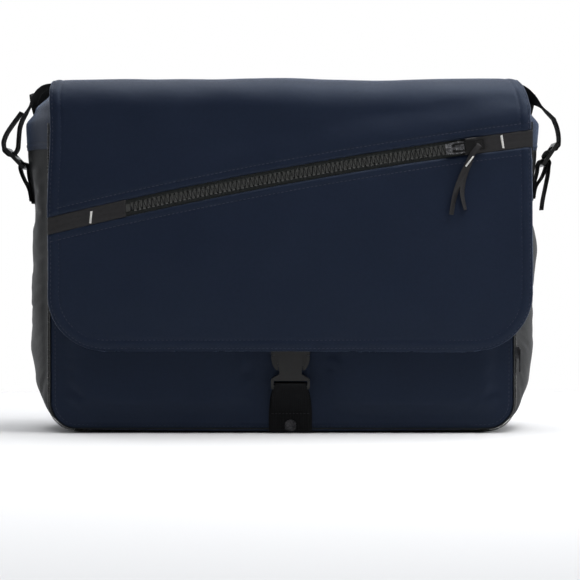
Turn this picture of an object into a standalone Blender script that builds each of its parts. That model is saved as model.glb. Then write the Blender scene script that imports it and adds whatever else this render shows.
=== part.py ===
"""A messenger-style diaper bag with a zipped front flap, a side-release buckle and a shoulder strap.

Metres, +Z up, +X to the bag's right as it is looked at, +Y to its back. The origin is the middle of the
flat underside. Each object is one sewn or moulded piece; a moving piece hangs from an empty on its axis.
"""

import math

import bmesh
import bpy
from mathutils import Matrix, Vector

# ---------------------------------------------------------------- driving dimensions
FIT = 0.0003                # the gap that touching pieces keep

BODY_HALF_WIDTH = 0.196     # from the middle to the front and back seams
BODY_BOTTOM = 0.004         # the seams' lowest line
CORNER_RADIUS = 0.022       # the seams' bottom corners
FRONT_TOP = 0.275
BACK_TOP = 0.2905
FRONT_Y = -0.0660           # outer face of the front panel
BACK_Y = 0.0642             # outer face of the back panel
PANEL = 0.0020              # padded canvas
GUSSET_FRONT = -0.0572
GUSSET_BACK = 0.0618
GUSSET = 0.0016
GUSSET_JOIN = 0.2400        # the leatherette's hem, below the canvas wing
WING_TOP = 0.2890

FLAP_RADIUS = 0.0280        # outside of the flap's roll over the front
FOLD_Y = -0.0537            # the roll's centre line
FOLD_Z = 0.2705
FLAP_TOP = FOLD_Z + FLAP_RADIUS
FLAP_FRONT = FOLD_Y - FLAP_RADIUS
FLAP_BOTTOM = 0.0700
FLAP_CORNER = 0.0480
FLAP_LEFT = -0.1970
FLAP_RIGHT_TOP = 0.2085
FLAP_RIGHT_LOW = 0.2120
FLAP_BACK_LEFT = -0.1860
FLAP_BACK_RIGHT = 0.1870
FLAP_RIDGE_LEFT = -0.1915
FLAP_RIDGE_RIGHT = 0.1975
FLAP_SKIN = 0.0020
HINGE_Y = 0.0655
HINGE_Z = FLAP_TOP - 0.0022

ZIP_RADIUS = 3.60           # the flap zip is a shallow arc
ZIP_TILT = math.radians(10.3)
ZIP_MIDDLE = (0.0071, 0.2180)
ZIP_SLOT = 0.0070           # half of the slot between the two flap panels
ZIP_CHAIN = 0.0040          # half of the meshed teeth
ZIP_LEFT = -0.1270          # the first tooth
ZIP_RIGHT = 0.1538          # the last tooth
SLIDER_X = 0.1453           # the closed slider's middle

BUCKLE_X = 0.0071
WEBBING = 0.0012
CLOSURE_WIDTH = 0.0270

STRAP_WIDTH = 0.0380
STRAP_Y = 0.0040
LOCK_WIDTH = 0.0460
LOCK_THICK = 0.0032

NAVY = (0.016, 0.021, 0.040)
BLACK_CLOTH = (0.014, 0.014, 0.015)
LEATHERETTE = (0.024, 0.025, 0.026)
BLACK_PLASTIC = (0.022, 0.022, 0.022)
LINING_GREY = (0.10, 0.105, 0.115)
GUNMETAL = (0.10, 0.10, 0.11)
BOARD_GREY = (0.05, 0.05, 0.05)


# ---------------------------------------------------------------- scene, materials and empties
def clear_scene():
    for obj in list(bpy.data.objects):
        bpy.data.objects.remove(obj)


def material(name, colour, roughness, metallic=0.0):
    made = bpy.data.materials.new(name)
    made.use_nodes = True
    shader = made.node_tree.nodes["Principled BSDF"]
    shader.inputs["Base Color"].default_value = (*colour, 1.0)
    shader.inputs["Roughness"].default_value = roughness
    shader.inputs["Metallic"].default_value = metallic
    return made


def pivot(name, place, parent=None):
    """An empty on a joint's axis."""
    empty = bpy.data.objects.new(name, None)
    bpy.context.scene.collection.objects.link(empty)
    empty.location = Vector(place) - (parent.matrix_world.translation if parent else Vector())
    empty.parent = parent
    bpy.context.view_layer.update()
    return empty


def add_object(name, bm, finish, on=None):
    """Makes an object from a mesh given in the bag's frame, with its origin on the empty that it hangs from."""
    bmesh.ops.recalc_face_normals(bm, faces=bm.faces[:])
    if on:
        bmesh.ops.translate(bm, vec=-on.matrix_world.translation, verts=bm.verts[:])
    mesh = bpy.data.meshes.new(name)
    bm.to_mesh(mesh)
    bm.free()
    mesh.materials.append(finish)
    obj = bpy.data.objects.new(name, mesh)
    bpy.context.scene.collection.objects.link(obj)
    obj.parent = on
    return obj


def shade_round(obj, angle=35):
    obj.data.shade_smooth()
    obj.data.set_sharp_from_angle(angle=math.radians(angle))


def combine(obj, other, operation):
    """A Boolean with another object, which is then a hidden helper."""
    other.hide_render = True
    other.display_type = "WIRE"
    change = obj.modifiers.new(operation.lower(), "BOOLEAN")
    change.operation = operation
    change.object = other
    return obj


# ---------------------------------------------------------------- shapes
def arc(centre, radius, start, end, steps):
    """Points on an arc, angles in degrees, anticlockwise if end is past start."""
    angles = [math.radians(start + (end - start) * i / steps) for i in range(steps + 1)]
    return [(centre[0] + radius * math.cos(a), centre[1] + radius * math.sin(a)) for a in angles]


def prism_mesh(outline, low, high, axis="Y"):
    """A flat outline extruded along an axis. The outline is (x, z) for Y, (x, y) for Z and (y, z) for X."""
    place = {
        "X": lambda a, b, c: (c, a, b),
        "Y": lambda a, b, c: (a, c, b),
        "Z": lambda a, b, c: (a, b, c),
    }[axis]
    bm = bmesh.new()
    rings = [[bm.verts.new(place(a, b, c)) for a, b in outline] for c in (low, high)]
    bm.faces.new(rings[0])
    bm.faces.new(rings[1][::-1])
    count = len(outline)
    for i in range(count):
        j = (i + 1) % count
        bm.faces.new((rings[0][i], rings[1][i], rings[1][j], rings[0][j]))
    return bm


def prism(name, outline, low, high, finish, on=None, axis="Y"):
    return add_object(name, prism_mesh(outline, low, high, axis), finish, on)


def block(name, low, high, finish, on=None):
    """A box from its lowest to its highest corner."""
    outline = [(low[0], low[2]), (high[0], low[2]), (high[0], high[2]), (low[0], high[2])]
    return prism(name, outline, low[1], high[1], finish, on)


def sheet(name, outer, inner, across, along, finish, on=None):
    """A closed sheet between two surfaces, each a function of two shares from 0 to 1."""
    bm = bmesh.new()
    grids = []
    for surface in (outer, inner):
        rows = [[bm.verts.new(surface(i / across, j / along)) for j in range(along + 1)] for i in range(across + 1)]
        grids.append(rows)
        for i in range(across):
            for j in range(along):
                bm.faces.new((rows[i][j], rows[i + 1][j], rows[i + 1][j + 1], rows[i][j + 1]))
    top, under = grids
    rim = [(i, 0) for i in range(across)] + [(across, j) for j in range(along)]
    rim += [(i, along) for i in range(across, 0, -1)] + [(0, j) for j in range(along, 0, -1)]
    for k, (i, j) in enumerate(rim):
        m, n = rim[(k + 1) % len(rim)]
        bm.faces.new((top[i][j], top[m][n], under[m][n], under[i][j]))
    obj = add_object(name, bm, finish, on)
    shade_round(obj, 50)
    return obj


def smooth_line(points, steps):
    """A Catmull-Rom curve through the points, with some steps between each two."""
    ends = [2 * points[0] - points[1], *points, 2 * points[-1] - points[-2]]
    line = []
    for a, b, c, d in zip(ends, ends[1:], ends[2:], ends[3:]):
        for i in range(steps):
            t = i / steps
            line.append(
                0.5 * (2 * b + (c - a) * t + (2 * a - 5 * b + 4 * c - d) * t**2 + (3 * b - a - 3 * c + d) * t**3)
            )
    return [*line, points[-1]]


def ribbon_mesh(line, across, widths, thickness):
    """Webbing: a flat section carried along a line. across and widths hold the width's way and size at each point."""
    bm = bmesh.new()
    rings = []
    for i, point in enumerate(line):
        ahead = (line[min(i + 1, len(line) - 1)] - line[max(i - 1, 0)]).normalized()
        side = (across[i] - across[i].dot(ahead) * ahead).normalized()
        face = ahead.cross(side)
        rings.append(
            [
                bm.verts.new(point + side * (sx * widths[i] / 2) + face * (sn * thickness / 2))
                for sx, sn in ((-1, -1), (1, -1), (1, 1), (-1, 1))
            ]
        )
    bm.faces.new(rings[0])
    bm.faces.new(rings[-1][::-1])
    for a, b in zip(rings, rings[1:]):
        for k in range(4):
            n = (k + 1) % 4
            bm.faces.new((a[k], b[k], b[n], a[n]))
    return bm


def ribbon(name, points, width, thickness, finish, on=None, across=None, steps=3):
    """Webbing through some points. across is one direction, or one for each point, and so is width."""
    points = [Vector(p) for p in points]
    ways = [Vector(across)] * len(points) if isinstance(across, tuple) else [Vector(a) for a in across]
    widths = width if isinstance(width, list) else [width] * len(points)
    mesh = ribbon_mesh(smooth_line(points, steps), smooth_line(ways, steps), smooth_line(widths, steps), thickness)
    obj = add_object(name, mesh, finish, on)
    shade_round(obj, 40)
    return obj


def follow(table, at):
    """The value at a place in a table of (place, value), eased between its entries."""
    if at <= table[0][0]:
        return table[0][1]
    for (a, low), (b, high) in zip(table, table[1:]):
        if at <= b:
            t = (at - a) / (b - a)
            return low + (high - low) * t * t * (3 - 2 * t)
    return table[-1][1]


# ---------------------------------------------------------------- the body
def seam_line(offset, top):
    """The U of the body's seam in (x, z), from the top left round the bottom to the top right."""
    half = BODY_HALF_WIDTH + offset
    centre_x = BODY_HALF_WIDTH - CORNER_RADIUS
    centre_z = BODY_BOTTOM + CORNER_RADIUS
    radius = CORNER_RADIUS + offset
    left = arc((-centre_x, centre_z), radius, 180, 270, 6)
    right = arc((centre_x, centre_z), radius, 270, 360, 6)
    return [(-half, top), *left, *right, (half, top)]


def seam_band(name, inner, outer, top, low_y, high_y, finish):
    """A band that follows the seam, between two offsets from it."""
    outline = seam_line(outer, top) + seam_line(inner, top)[::-1]
    return prism(name, outline, low_y, high_y, finish)


def seam_side(share, top):
    """A point and outward direction on the seam's right side, from under the corner at 0 to a height at 1."""
    centre_x = BODY_HALF_WIDTH - CORNER_RADIUS
    centre_z = BODY_BOTTOM + CORNER_RADIUS
    tuck = 0.004
    bend = CORNER_RADIUS * math.pi / 2
    # Half of the share goes to the bend, so that it stays round.
    at = share * 2 * (tuck + bend) if share < 0.5 else tuck + bend + (share * 2 - 1) * (top - centre_z)
    if at < tuck:
        return centre_x - tuck + at, BODY_BOTTOM, 0.0, -1.0
    if at < tuck + bend:
        a = (at - tuck) / CORNER_RADIUS - math.pi / 2
        return centre_x + CORNER_RADIUS * math.cos(a), centre_z + CORNER_RADIUS * math.sin(a), math.cos(a), math.sin(a)
    return BODY_HALF_WIDTH, centre_z + at - tuck - bend, 1.0, 0.0


# How far the stuffed gusset stands out of its seams at mid depth, by height.
LOWER_BULGE = [(0.004, 0.0), (0.012, 0.004), (0.045, 0.0155), (0.075, 0.0190), (0.110, 0.0195),
               (0.150, 0.0180), (0.185, 0.0180), (0.240, 0.0245)]
WING_BULGE = [(0.240, 0.0255), (0.262, 0.0265), (0.275, 0.0220), (0.289, 0.0130)]
WING_LEAN = [(0.240, 0.0), (0.262, 0.0), (0.275, -0.0040), (0.289, -0.0080)]


def swell(y):
    """The share of the bulge at a depth: none on the two seams, all of it half way."""
    middle = (GUSSET_FRONT + GUSSET_BACK) / 2
    half = (GUSSET_BACK - GUSSET_FRONT) / 2
    return 1 - ((y - middle) / half) ** 2


def lower_gusset(side, inset):
    def surface(u, v):
        x, z, nx, nz = seam_side(u, GUSSET_JOIN)
        y = GUSSET_FRONT + (GUSSET_BACK - GUSSET_FRONT) * v
        out = follow(LOWER_BULGE, z) * swell(y) - inset
        return side * (x + nx * out), y, z + nz * out

    return surface


def wing(side, inset):
    def surface(u, v):
        z = GUSSET_JOIN + FIT + (WING_TOP - GUSSET_JOIN - FIT) * u
        y = GUSSET_FRONT + (GUSSET_BACK - GUSSET_FRONT) * v
        out = follow(WING_BULGE, z) * swell(y) + follow(WING_LEAN, z) - inset
        return side * (BODY_HALF_WIDTH + out), y, z

    return surface


def build_body(finish):
    navy, leatherette = finish["navy"], finish["leatherette"]
    prism("front_panel", seam_line(-0.0005, FRONT_TOP), FRONT_Y, FRONT_Y + PANEL, navy)
    prism("back_panel", seam_line(0, BACK_TOP), BACK_Y - PANEL, BACK_Y, navy)
    for side, hand in ((-1, "left"), (1, "right")):
        sheet(f"gusset_{hand}", lower_gusset(side, 0), lower_gusset(side, GUSSET), 16, 8, leatherette)
        sheet(f"gusset_wing_{hand}", wing(side, 0), wing(side, GUSSET), 5, 8, navy)
    bottom_x = BODY_HALF_WIDTH - CORNER_RADIUS + 0.002
    block("bottom_panel", (-bottom_x, GUSSET_FRONT, 0), (bottom_x, GUSSET_BACK, 0.0022), leatherette)
    block("base_board", (-0.166, -0.055, 0.0026), (0.166, 0.060, 0.0054), finish["board"])
    build_lining(finish["lining"])


def build_lining(finish):
    """An open-topped liner inside the walls."""
    gap, cloth, top = 0.0022, 0.0008, 0.2620
    low_y, high_y = FRONT_Y + PANEL + 0.0006, BACK_Y - PANEL - 0.0006
    liner = prism("lining", seam_line(-gap, top), low_y, high_y, finish)
    room = prism("lining_room", seam_line(-gap - cloth, top + 0.01), low_y + cloth, high_y - cloth, finish)
    combine(liner, room, "DIFFERENCE")


# ---------------------------------------------------------------- the zip round the front panel
COIL_IN, COIL_OUT = 0.0011, 0.0029
COIL_FRONT, COIL_BACK = -0.0630, -0.0606
SEAM_ZIP_TOP = 0.262
SEAM_SLIDER_Z = 0.0680


def build_seam_zip(finish):
    cloth, plastic = finish["black_cloth"], finish["plastic"]
    seam_band("seam_zip_tape", 0, 0.0008, SEAM_ZIP_TOP, FRONT_Y, GUSSET_FRONT - FIT, cloth)
    seam_band("seam_zip_coil", COIL_IN, COIL_OUT, SEAM_ZIP_TOP, COIL_FRONT, COIL_BACK, plastic)
    slider_low, slider_high = SEAM_SLIDER_Z - 0.0050, SEAM_SLIDER_Z + 0.0050
    plate_in = BODY_HALF_WIDTH + COIL_OUT + FIT
    plate_out = plate_in + 0.0014
    leg_in = BODY_HALF_WIDTH + COIL_IN + 0.0001
    leg = 0.0009
    channel = [
        (leg_in, COIL_FRONT - FIT - leg), (plate_out, COIL_FRONT - FIT - leg),
        (plate_out, COIL_BACK + FIT + leg), (leg_in, COIL_BACK + FIT + leg),
        (leg_in, COIL_BACK + FIT), (plate_in, COIL_BACK + FIT),
        (plate_in, COIL_FRONT - FIT), (leg_in, COIL_FRONT - FIT),
    ]
    on = pivot("seam_slider_travel", (plate_out, (COIL_FRONT + COIL_BACK) / 2, SEAM_SLIDER_Z))
    prism("seam_zip_slider", channel, slider_low, slider_high, finish["gunmetal"], on, axis="Z")
    pull_x = plate_out + FIT
    hang = pivot("seam_pull_lift", (pull_x + 0.0005, (COIL_FRONT + COIL_BACK) / 2, SEAM_SLIDER_Z + 0.0025), on)
    tab = arc((0, SEAM_SLIDER_Z - 0.0150), 0.0017, 180, 360, 6) + [(0.0017, SEAM_SLIDER_Z + 0.0030)]
    tab = [(y + (COIL_FRONT + COIL_BACK) / 2, z) for y, z in [*tab, (-0.0017, SEAM_SLIDER_Z + 0.0030)]]
    prism("seam_zip_pull", tab, pull_x, pull_x + 0.0010, finish["gunmetal"], hang, axis="X")


# ---------------------------------------------------------------- the flap
def zip_centre():
    return (
        ZIP_MIDDLE[0] + ZIP_RADIUS * math.sin(ZIP_TILT),
        ZIP_MIDDLE[1] - ZIP_RADIUS * math.cos(ZIP_TILT),
    )


def zip_z(x, offset=0.0):
    """The height of the zip's line at x, or of a line a little above or below it."""
    cx, cz = zip_centre()
    return cz + math.sqrt((ZIP_RADIUS + offset) ** 2 - (x - cx) ** 2)


def zip_line(low_x, high_x, offset, steps):
    return [(x, zip_z(x, offset)) for x in (low_x + (high_x - low_x) * i / steps for i in range(steps + 1))]


def zip_band(name, low_x, high_x, low, high, front, back, finish, on, steps=12):
    outline = zip_line(low_x, high_x, low, steps) + zip_line(low_x, high_x, high, steps)[::-1]
    return prism(name, outline, front, back, finish, on)


def flap_bottom_line(inset):
    """The flap's lower edge with its round corners, from left to right."""
    left, right, low = FLAP_LEFT + inset, FLAP_RIGHT_LOW - inset, FLAP_BOTTOM + inset
    radius = FLAP_CORNER - inset
    return arc((left + radius, low + radius), radius, 180, 270, 8) + arc(
        (right - radius, low + radius), radius, 270, 360, 8
    )


SKIN_BACK = FLAP_FRONT + FLAP_SKIN
TAPE_FRONT, TAPE_BACK = FLAP_FRONT + 0.0023, FLAP_FRONT + 0.0029
CHAIN_FRONT, CHAIN_BACK = FLAP_FRONT + 0.0005, FLAP_FRONT + 0.0027
POCKET_FRONT, POCKET_BACK = FLAP_FRONT + 0.0041, FLAP_FRONT + 0.0046
LINING_FRONT, LINING_BACK = FLAP_FRONT + 0.0049, FLAP_FRONT + 0.0056


def build_flap_top(finish, on):
    def outline(inset):
        return [
            (FLAP_RIDGE_LEFT + inset, FOLD_Y + 0.0007), (FLAP_RIDGE_RIGHT - inset, FOLD_Y + 0.0007),
            (FLAP_BACK_RIGHT - inset, HINGE_Y - 0.0015), (FLAP_BACK_LEFT + inset, HINGE_Y - 0.0015),
        ]

    prism("flap_top_panel", outline(0), FLAP_TOP - FLAP_SKIN, FLAP_TOP, finish["navy"], on, axis="Z")
    prism("flap_top_lining", outline(0.0015), FLAP_TOP - 0.0056, FLAP_TOP - 0.0049, finish["lining"], on, axis="Z")

    def roll(radius):
        def surface(u, v):
            a = math.radians(90 + 0.6 + (90 - 1.2) * u)
            left = FLAP_RIDGE_LEFT + (FLAP_LEFT - FLAP_RIDGE_LEFT) * math.sin(u * math.pi / 2)
            right = FLAP_RIDGE_RIGHT + (FLAP_RIGHT_TOP - FLAP_RIDGE_RIGHT) * math.sin(u * math.pi / 2)
            return left + (right - left) * v, FOLD_Y + radius * math.cos(a), FOLD_Z + radius * math.sin(a)

        return surface

    sheet("flap_roll", roll(FLAP_RADIUS), roll(FLAP_RADIUS - FLAP_SKIN), 10, 6, finish["navy"], on)


def build_flap_front(finish, on):
    navy, cloth, plastic = finish["navy"], finish["black_cloth"], finish["plastic"]
    top = FOLD_Z - FIT
    upper = [(FLAP_LEFT, top), *zip_line(FLAP_LEFT, FLAP_RIGHT_LOW, ZIP_SLOT, 16), (FLAP_RIGHT_TOP, top)]
    prism("flap_upper_panel", upper, FLAP_FRONT, SKIN_BACK, navy, on)
    lower = flap_bottom_line(0) + zip_line(FLAP_LEFT, FLAP_RIGHT_LOW, -ZIP_SLOT, 16)[::-1]
    prism("flap_lower_panel", lower, FLAP_FRONT, SKIN_BACK, navy, on)
    inset = 0.0015
    back = [*flap_bottom_line(inset), (FLAP_RIGHT_TOP - inset, top), (FLAP_LEFT + inset, top)]
    prism("flap_lining", back, LINING_FRONT, LINING_BACK, finish["lining"], on)
    bag = [(-0.145, 0.096), (0.165, 0.096), *zip_line(-0.145, 0.165, 0.0165, 10)[::-1]]
    prism("flap_pocket_bag", bag, POCKET_FRONT, POCKET_BACK, finish["lining"], on)

    edge = 0.0135
    for side, hand in ((1, "upper"), (-1, "lower")):
        near, far = side * (ZIP_CHAIN + FIT), side * edge
        zip_band(f"flap_zip_tape_{hand}", -0.190, 0.205, min(near, far), max(near, far), TAPE_FRONT, TAPE_BACK, cloth, on)
        near, far = side * 0.0013, side * ZIP_CHAIN
        zip_band(
            f"flap_zip_teeth_{hand}", ZIP_LEFT, ZIP_RIGHT, min(near, far), max(near, far),
            CHAIN_FRONT, CHAIN_BACK, plastic, on,
        )
    reach = ZIP_SLOT - FIT
    tab_front, tab_back = FLAP_FRONT + 0.0010, FLAP_FRONT + 0.0019
    stop_left, stop_right = ZIP_LEFT - 0.0040, ZIP_RIGHT + 0.0040
    zip_band("zip_end_tab_left", FLAP_LEFT + 0.0004, stop_left - FIT, -reach, reach, tab_front, tab_back, cloth, on, 4)
    zip_band("zip_end_tab_right", stop_right + FIT, FLAP_RIGHT_LOW - 0.0006, -reach, reach, tab_front, tab_back, cloth, on, 4)
    stop = 0.0030
    stop_depth = (CHAIN_FRONT, CHAIN_BACK - 0.0005)
    zip_band("zip_stop_left", stop_left, ZIP_LEFT - FIT, -stop, stop, *stop_depth, finish["gunmetal"], on, 2)
    zip_band("zip_stop_right", ZIP_RIGHT + FIT, stop_right, -stop, stop, *stop_depth, finish["gunmetal"], on, 2)


def build_zip_slider(finish, on_flap):
    """The slider turns about the zip arc's far-off centre, and carries its pull and the ribbon on that."""
    cx, cz = zip_centre()
    travel = pivot("zip_slide", (cx, CHAIN_FRONT, cz), on_flap)
    slope = math.atan2(SLIDER_X - cx, zip_z(SLIDER_X) - cz)
    middle = Vector((SLIDER_X, 0, zip_z(SLIDER_X)))

    def placed(bm):
        bmesh.ops.transform(bm, matrix=Matrix.Translation(middle) @ Matrix.Rotation(slope, 4, "Y"), verts=bm.verts[:])
        return bm

    shell = [(-0.0080, -0.0042), (0.0030, -0.0056), (0.0078, -0.0044), (0.0078, 0.0044), (0.0030, 0.0056), (-0.0080, 0.0042)]
    front_plate = prism_mesh(shell, CHAIN_FRONT - FIT - 0.0016, CHAIN_FRONT - FIT)
    slider = add_object("zip_slider", placed(front_plate), finish["gunmetal"], travel)
    back_plate = prism_mesh(shell, CHAIN_BACK + FIT, CHAIN_BACK + 0.0011)
    combine(slider, add_object("slider_back_plate", placed(back_plate), finish["gunmetal"], travel), "UNION")
    wedge = prism_mesh([(0.0040, -0.0009), (0.0070, -0.0009), (0.0070, 0.0009), (0.0040, 0.0009)],
                       CHAIN_FRONT - 0.0010, CHAIN_BACK + 0.0008)
    combine(slider, add_object("slider_wedge", placed(wedge), finish["gunmetal"], travel), "UNION")
    plate = CHAIN_FRONT - FIT - 0.0016
    bridge = prism_mesh(
        [(-0.0060, plate + 0.0005), (-0.0050, plate - 0.0040), (0.0050, plate - 0.0040), (0.0060, plate + 0.0005),
         (0.0040, plate + 0.0005), (0.0034, plate - 0.0028), (-0.0034, plate - 0.0028), (-0.0040, plate + 0.0005)],
        -0.0013, 0.0013, axis="Z",
    )
    combine(slider, add_object("slider_bridge", placed(bridge), finish["gunmetal"], travel), "UNION")

    # The pull's ring goes under the bridge; the tab lies to the right along the zip.
    ring_y = plate - 0.0014
    lift = pivot("zip_pull_lift", middle + Vector((-0.0011, ring_y, 0.0002)), travel)
    half = 0.0005
    tab = [(-0.0022, -0.0036), (0.0238, -0.0046), (0.0248, -0.0036), (0.0248, 0.0036), (0.0238, 0.0046), (-0.0022, 0.0036)]
    pull = add_object("zip_pull_tab", placed(prism_mesh(tab, ring_y - half, ring_y + half)), finish["plastic"], lift)
    for name, low, high in (("pull_ring_hole", 0.0000, 0.0085), ("pull_eye", 0.0172, 0.0226)):
        wide = 0.0024 if low == 0 else 0.0032
        hole = [(low, -wide), (high, -wide), (high, wide), (low, wide)]
        cutter = placed(prism_mesh(hole, ring_y - 0.002, ring_y + 0.002))
        combine(pull, add_object(name, cutter, finish["plastic"], lift), "DIFFERENCE")
    eye = middle + Matrix.Rotation(slope, 4, "Y") @ Vector((0.0199, 0, 0))
    build_pull_ribbon(finish, pivot("ribbon_hang", (eye.x, ring_y, eye.z), lift), Vector((eye.x, ring_y, eye.z)))


def build_pull_ribbon(finish, on, eye):
    """A narrow ribbon folded through the pull's eye, with two tails that hang down and to the left."""
    slant = (0.80, 0, -0.60)
    # Each point from the eye, and the direction of the ribbon's width there.
    route = [
        ((-0.0232, -0.0012, -0.0585), (0.97, 0, -0.20)), ((-0.0203, -0.0012, -0.0430), (0.95, 0, -0.26)),
        ((-0.0154, -0.0012, -0.0290), (0.92, 0, -0.38)), ((-0.0094, -0.0014, -0.0165), slant),
        ((-0.0046, -0.0018, -0.0065), slant), ((-0.0016, -0.0022, -0.0030), slant),
        ((0.0000, -0.0018, -0.0006), slant), ((0.0003, -0.0006, 0.0002), slant),
        ((0.0003, 0.0006, 0.0002), slant), ((0.0000, 0.0018, -0.0006), slant),
        ((-0.0016, 0.0020, -0.0030), slant), ((-0.0046, 0.0018, -0.0065), slant),
        ((-0.0088, 0.0012, -0.0165), slant), ((-0.0132, 0.0010, -0.0290), (0.93, 0, -0.36)),
        ((-0.0138, 0.0010, -0.0420), (0.99, 0, 0.06)), ((-0.0112, 0.0010, -0.0545), (0.97, 0, 0.25)),
    ]
    points = [eye + Vector(place) for place, _ in route]
    ways = [way for _, way in route]
    ribbon("zip_pull_ribbon", points, 0.0044, 0.0006, finish["black_cloth"], on, across=ways, steps=3)


# ---------------------------------------------------------------- the closing buckle
SOCKET_LOW = 0.0375
SOCKET_MOUTH = 0.0740
SOCKET_FRONT, SOCKET_BACK = -0.0758, -0.0688
PLUG_LOW = SOCKET_MOUTH + 0.0006
PLUG_TOP = 0.1000
PLUG_FRONT, PLUG_BACK = -0.0744, -0.0700
ARM_FRONT, ARM_BACK = -0.0740, -0.0706
ARM_PIVOT = (0.0095, PLUG_LOW - 0.0001)


def mirrored(half_outline):
    """A closed outline about the buckle's middle from its right half, given from the top down."""
    right = [(BUCKLE_X + x, z) for x, z in half_outline]
    left = [(BUCKLE_X - x, z) for x, z in half_outline[::-1]]
    return right + left


def build_buckle(finish, on_flap):
    plastic, cloth = finish["plastic"], finish["black_cloth"]
    half = [
        (0.0155, SOCKET_MOUTH), (0.0164, SOCKET_MOUTH - 0.0010), (0.0164, 0.0665), (0.0108, 0.0660), (0.0106, 0.0600),
        (0.0098, 0.0550), (0.0093, 0.0520), (0.0098, 0.0500), (0.0158, 0.0464), (0.0164, 0.0454),
        (0.0164, SOCKET_LOW + 0.0010), (0.0150, SOCKET_LOW),
    ]
    socket = prism("buckle_socket", mirrored(half), SOCKET_FRONT, SOCKET_BACK, plastic)
    wall = 0.0014
    room = block("socket_room", (BUCKLE_X - 0.0150, SOCKET_FRONT + wall, 0.0520),
                 (BUCKLE_X + 0.0150, SOCKET_BACK - wall, SOCKET_MOUTH + 0.01), plastic)
    combine(socket, room, "DIFFERENCE")
    slot = block("socket_slot", (BUCKLE_X - 0.0141, SOCKET_FRONT - 0.01, 0.0402),
                 (BUCKLE_X + 0.0141, SOCKET_BACK + 0.01, 0.0446), plastic)
    combine(socket, slot, "DIFFERENCE")

    # The lower webbing: sewn to the front panel, up behind the socket's bar, through its slot and down again.
    skin = FRONT_Y - FIT - WEBBING / 2
    loop = [(skin, 0.0012), (skin, 0.0200), (skin - 0.0002, 0.0330), (skin - 0.0006, 0.0390), (-0.0690, 0.0423),
            (-0.0723, 0.0426), (-0.0763, 0.0415), (-0.0770, 0.0385), (-0.0757, 0.0345), (-0.0720, 0.0290),
            (-0.0692, 0.0230), (-0.0684, 0.0190)]
    points = [(BUCKLE_X, y, z) for y, z in loop]
    ribbon("socket_webbing", points, CLOSURE_WIDTH, WEBBING, cloth, across=(1, 0, 0), steps=4)
    rivet = arc((BUCKLE_X, 0.0064), 0.0050, 0, 345, 23)
    prism("webbing_rivet", rivet, skin - 0.0021, skin - WEBBING / 2 - FIT, finish["gunmetal"])

    release = pivot("buckle_release", (BUCKLE_X, (PLUG_FRONT + PLUG_BACK) / 2, PLUG_LOW), on_flap)
    half = [(0.0150, PLUG_TOP), (0.0164, PLUG_TOP - 0.0014), (0.0164, PLUG_LOW + 0.0060), (0.0135, PLUG_LOW)]
    base = prism("buckle_plug", mirrored(half), PLUG_FRONT, PLUG_BACK, plastic, release)
    slot = block("plug_slot", (BUCKLE_X - 0.0141, PLUG_FRONT - 0.01, 0.0915),
                 (BUCKLE_X + 0.0141, PLUG_BACK + 0.01, 0.0965), plastic, release)
    combine(base, slot, "DIFFERENCE")
    arm = [
        (0.0072, SOCKET_MOUTH), (0.0120, SOCKET_MOUTH), (0.0124, 0.0662), (0.0162, 0.0657), (0.0163, 0.0630),
        (0.0154, 0.0590), (0.0136, 0.0555), (0.0118, 0.0533), (0.0104, 0.0536), (0.0102, 0.0560), (0.0108, 0.0600),
        (0.0100, 0.0640), (0.0078, 0.0680),
    ]
    for side, hand in ((-1, "left"), (1, "right")):
        press = pivot(f"plug_arm_{hand}_press", (BUCKLE_X + side * ARM_PIVOT[0], ARM_FRONT, ARM_PIVOT[1]), release)
        outline = [(BUCKLE_X + side * x, z) for x, z in arm]
        prism(f"plug_arm_{hand}", outline, ARM_FRONT, ARM_BACK, plastic, press)
    upper = [(-0.0755, 0.1300), (-0.0755, 0.1120), (-0.0754, 0.1020), (-0.0752, 0.0972), (-0.0738, 0.0943),
             (-0.0710, 0.0938), (-0.0692, 0.0955), (-0.0688, 0.0985), (-0.0700, 0.1025), (-0.0728, 0.1065),
             (-0.0738, 0.1120), (-0.0738, 0.1270)]
    points = [(BUCKLE_X, y, z) for y, z in upper]
    ribbon("plug_webbing", points, CLOSURE_WIDTH, WEBBING * 0.8, cloth, on_flap, across=(1, 0, 0), steps=4)


# ---------------------------------------------------------------- the shoulder strap and its side fittings
LOCK_BARS = ((-0.0018, 0.0018), (0.0075, 0.0112), (0.0168, 0.0210))   # bars along the lock's length
LOCK_RAIL = 0.0035


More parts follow.
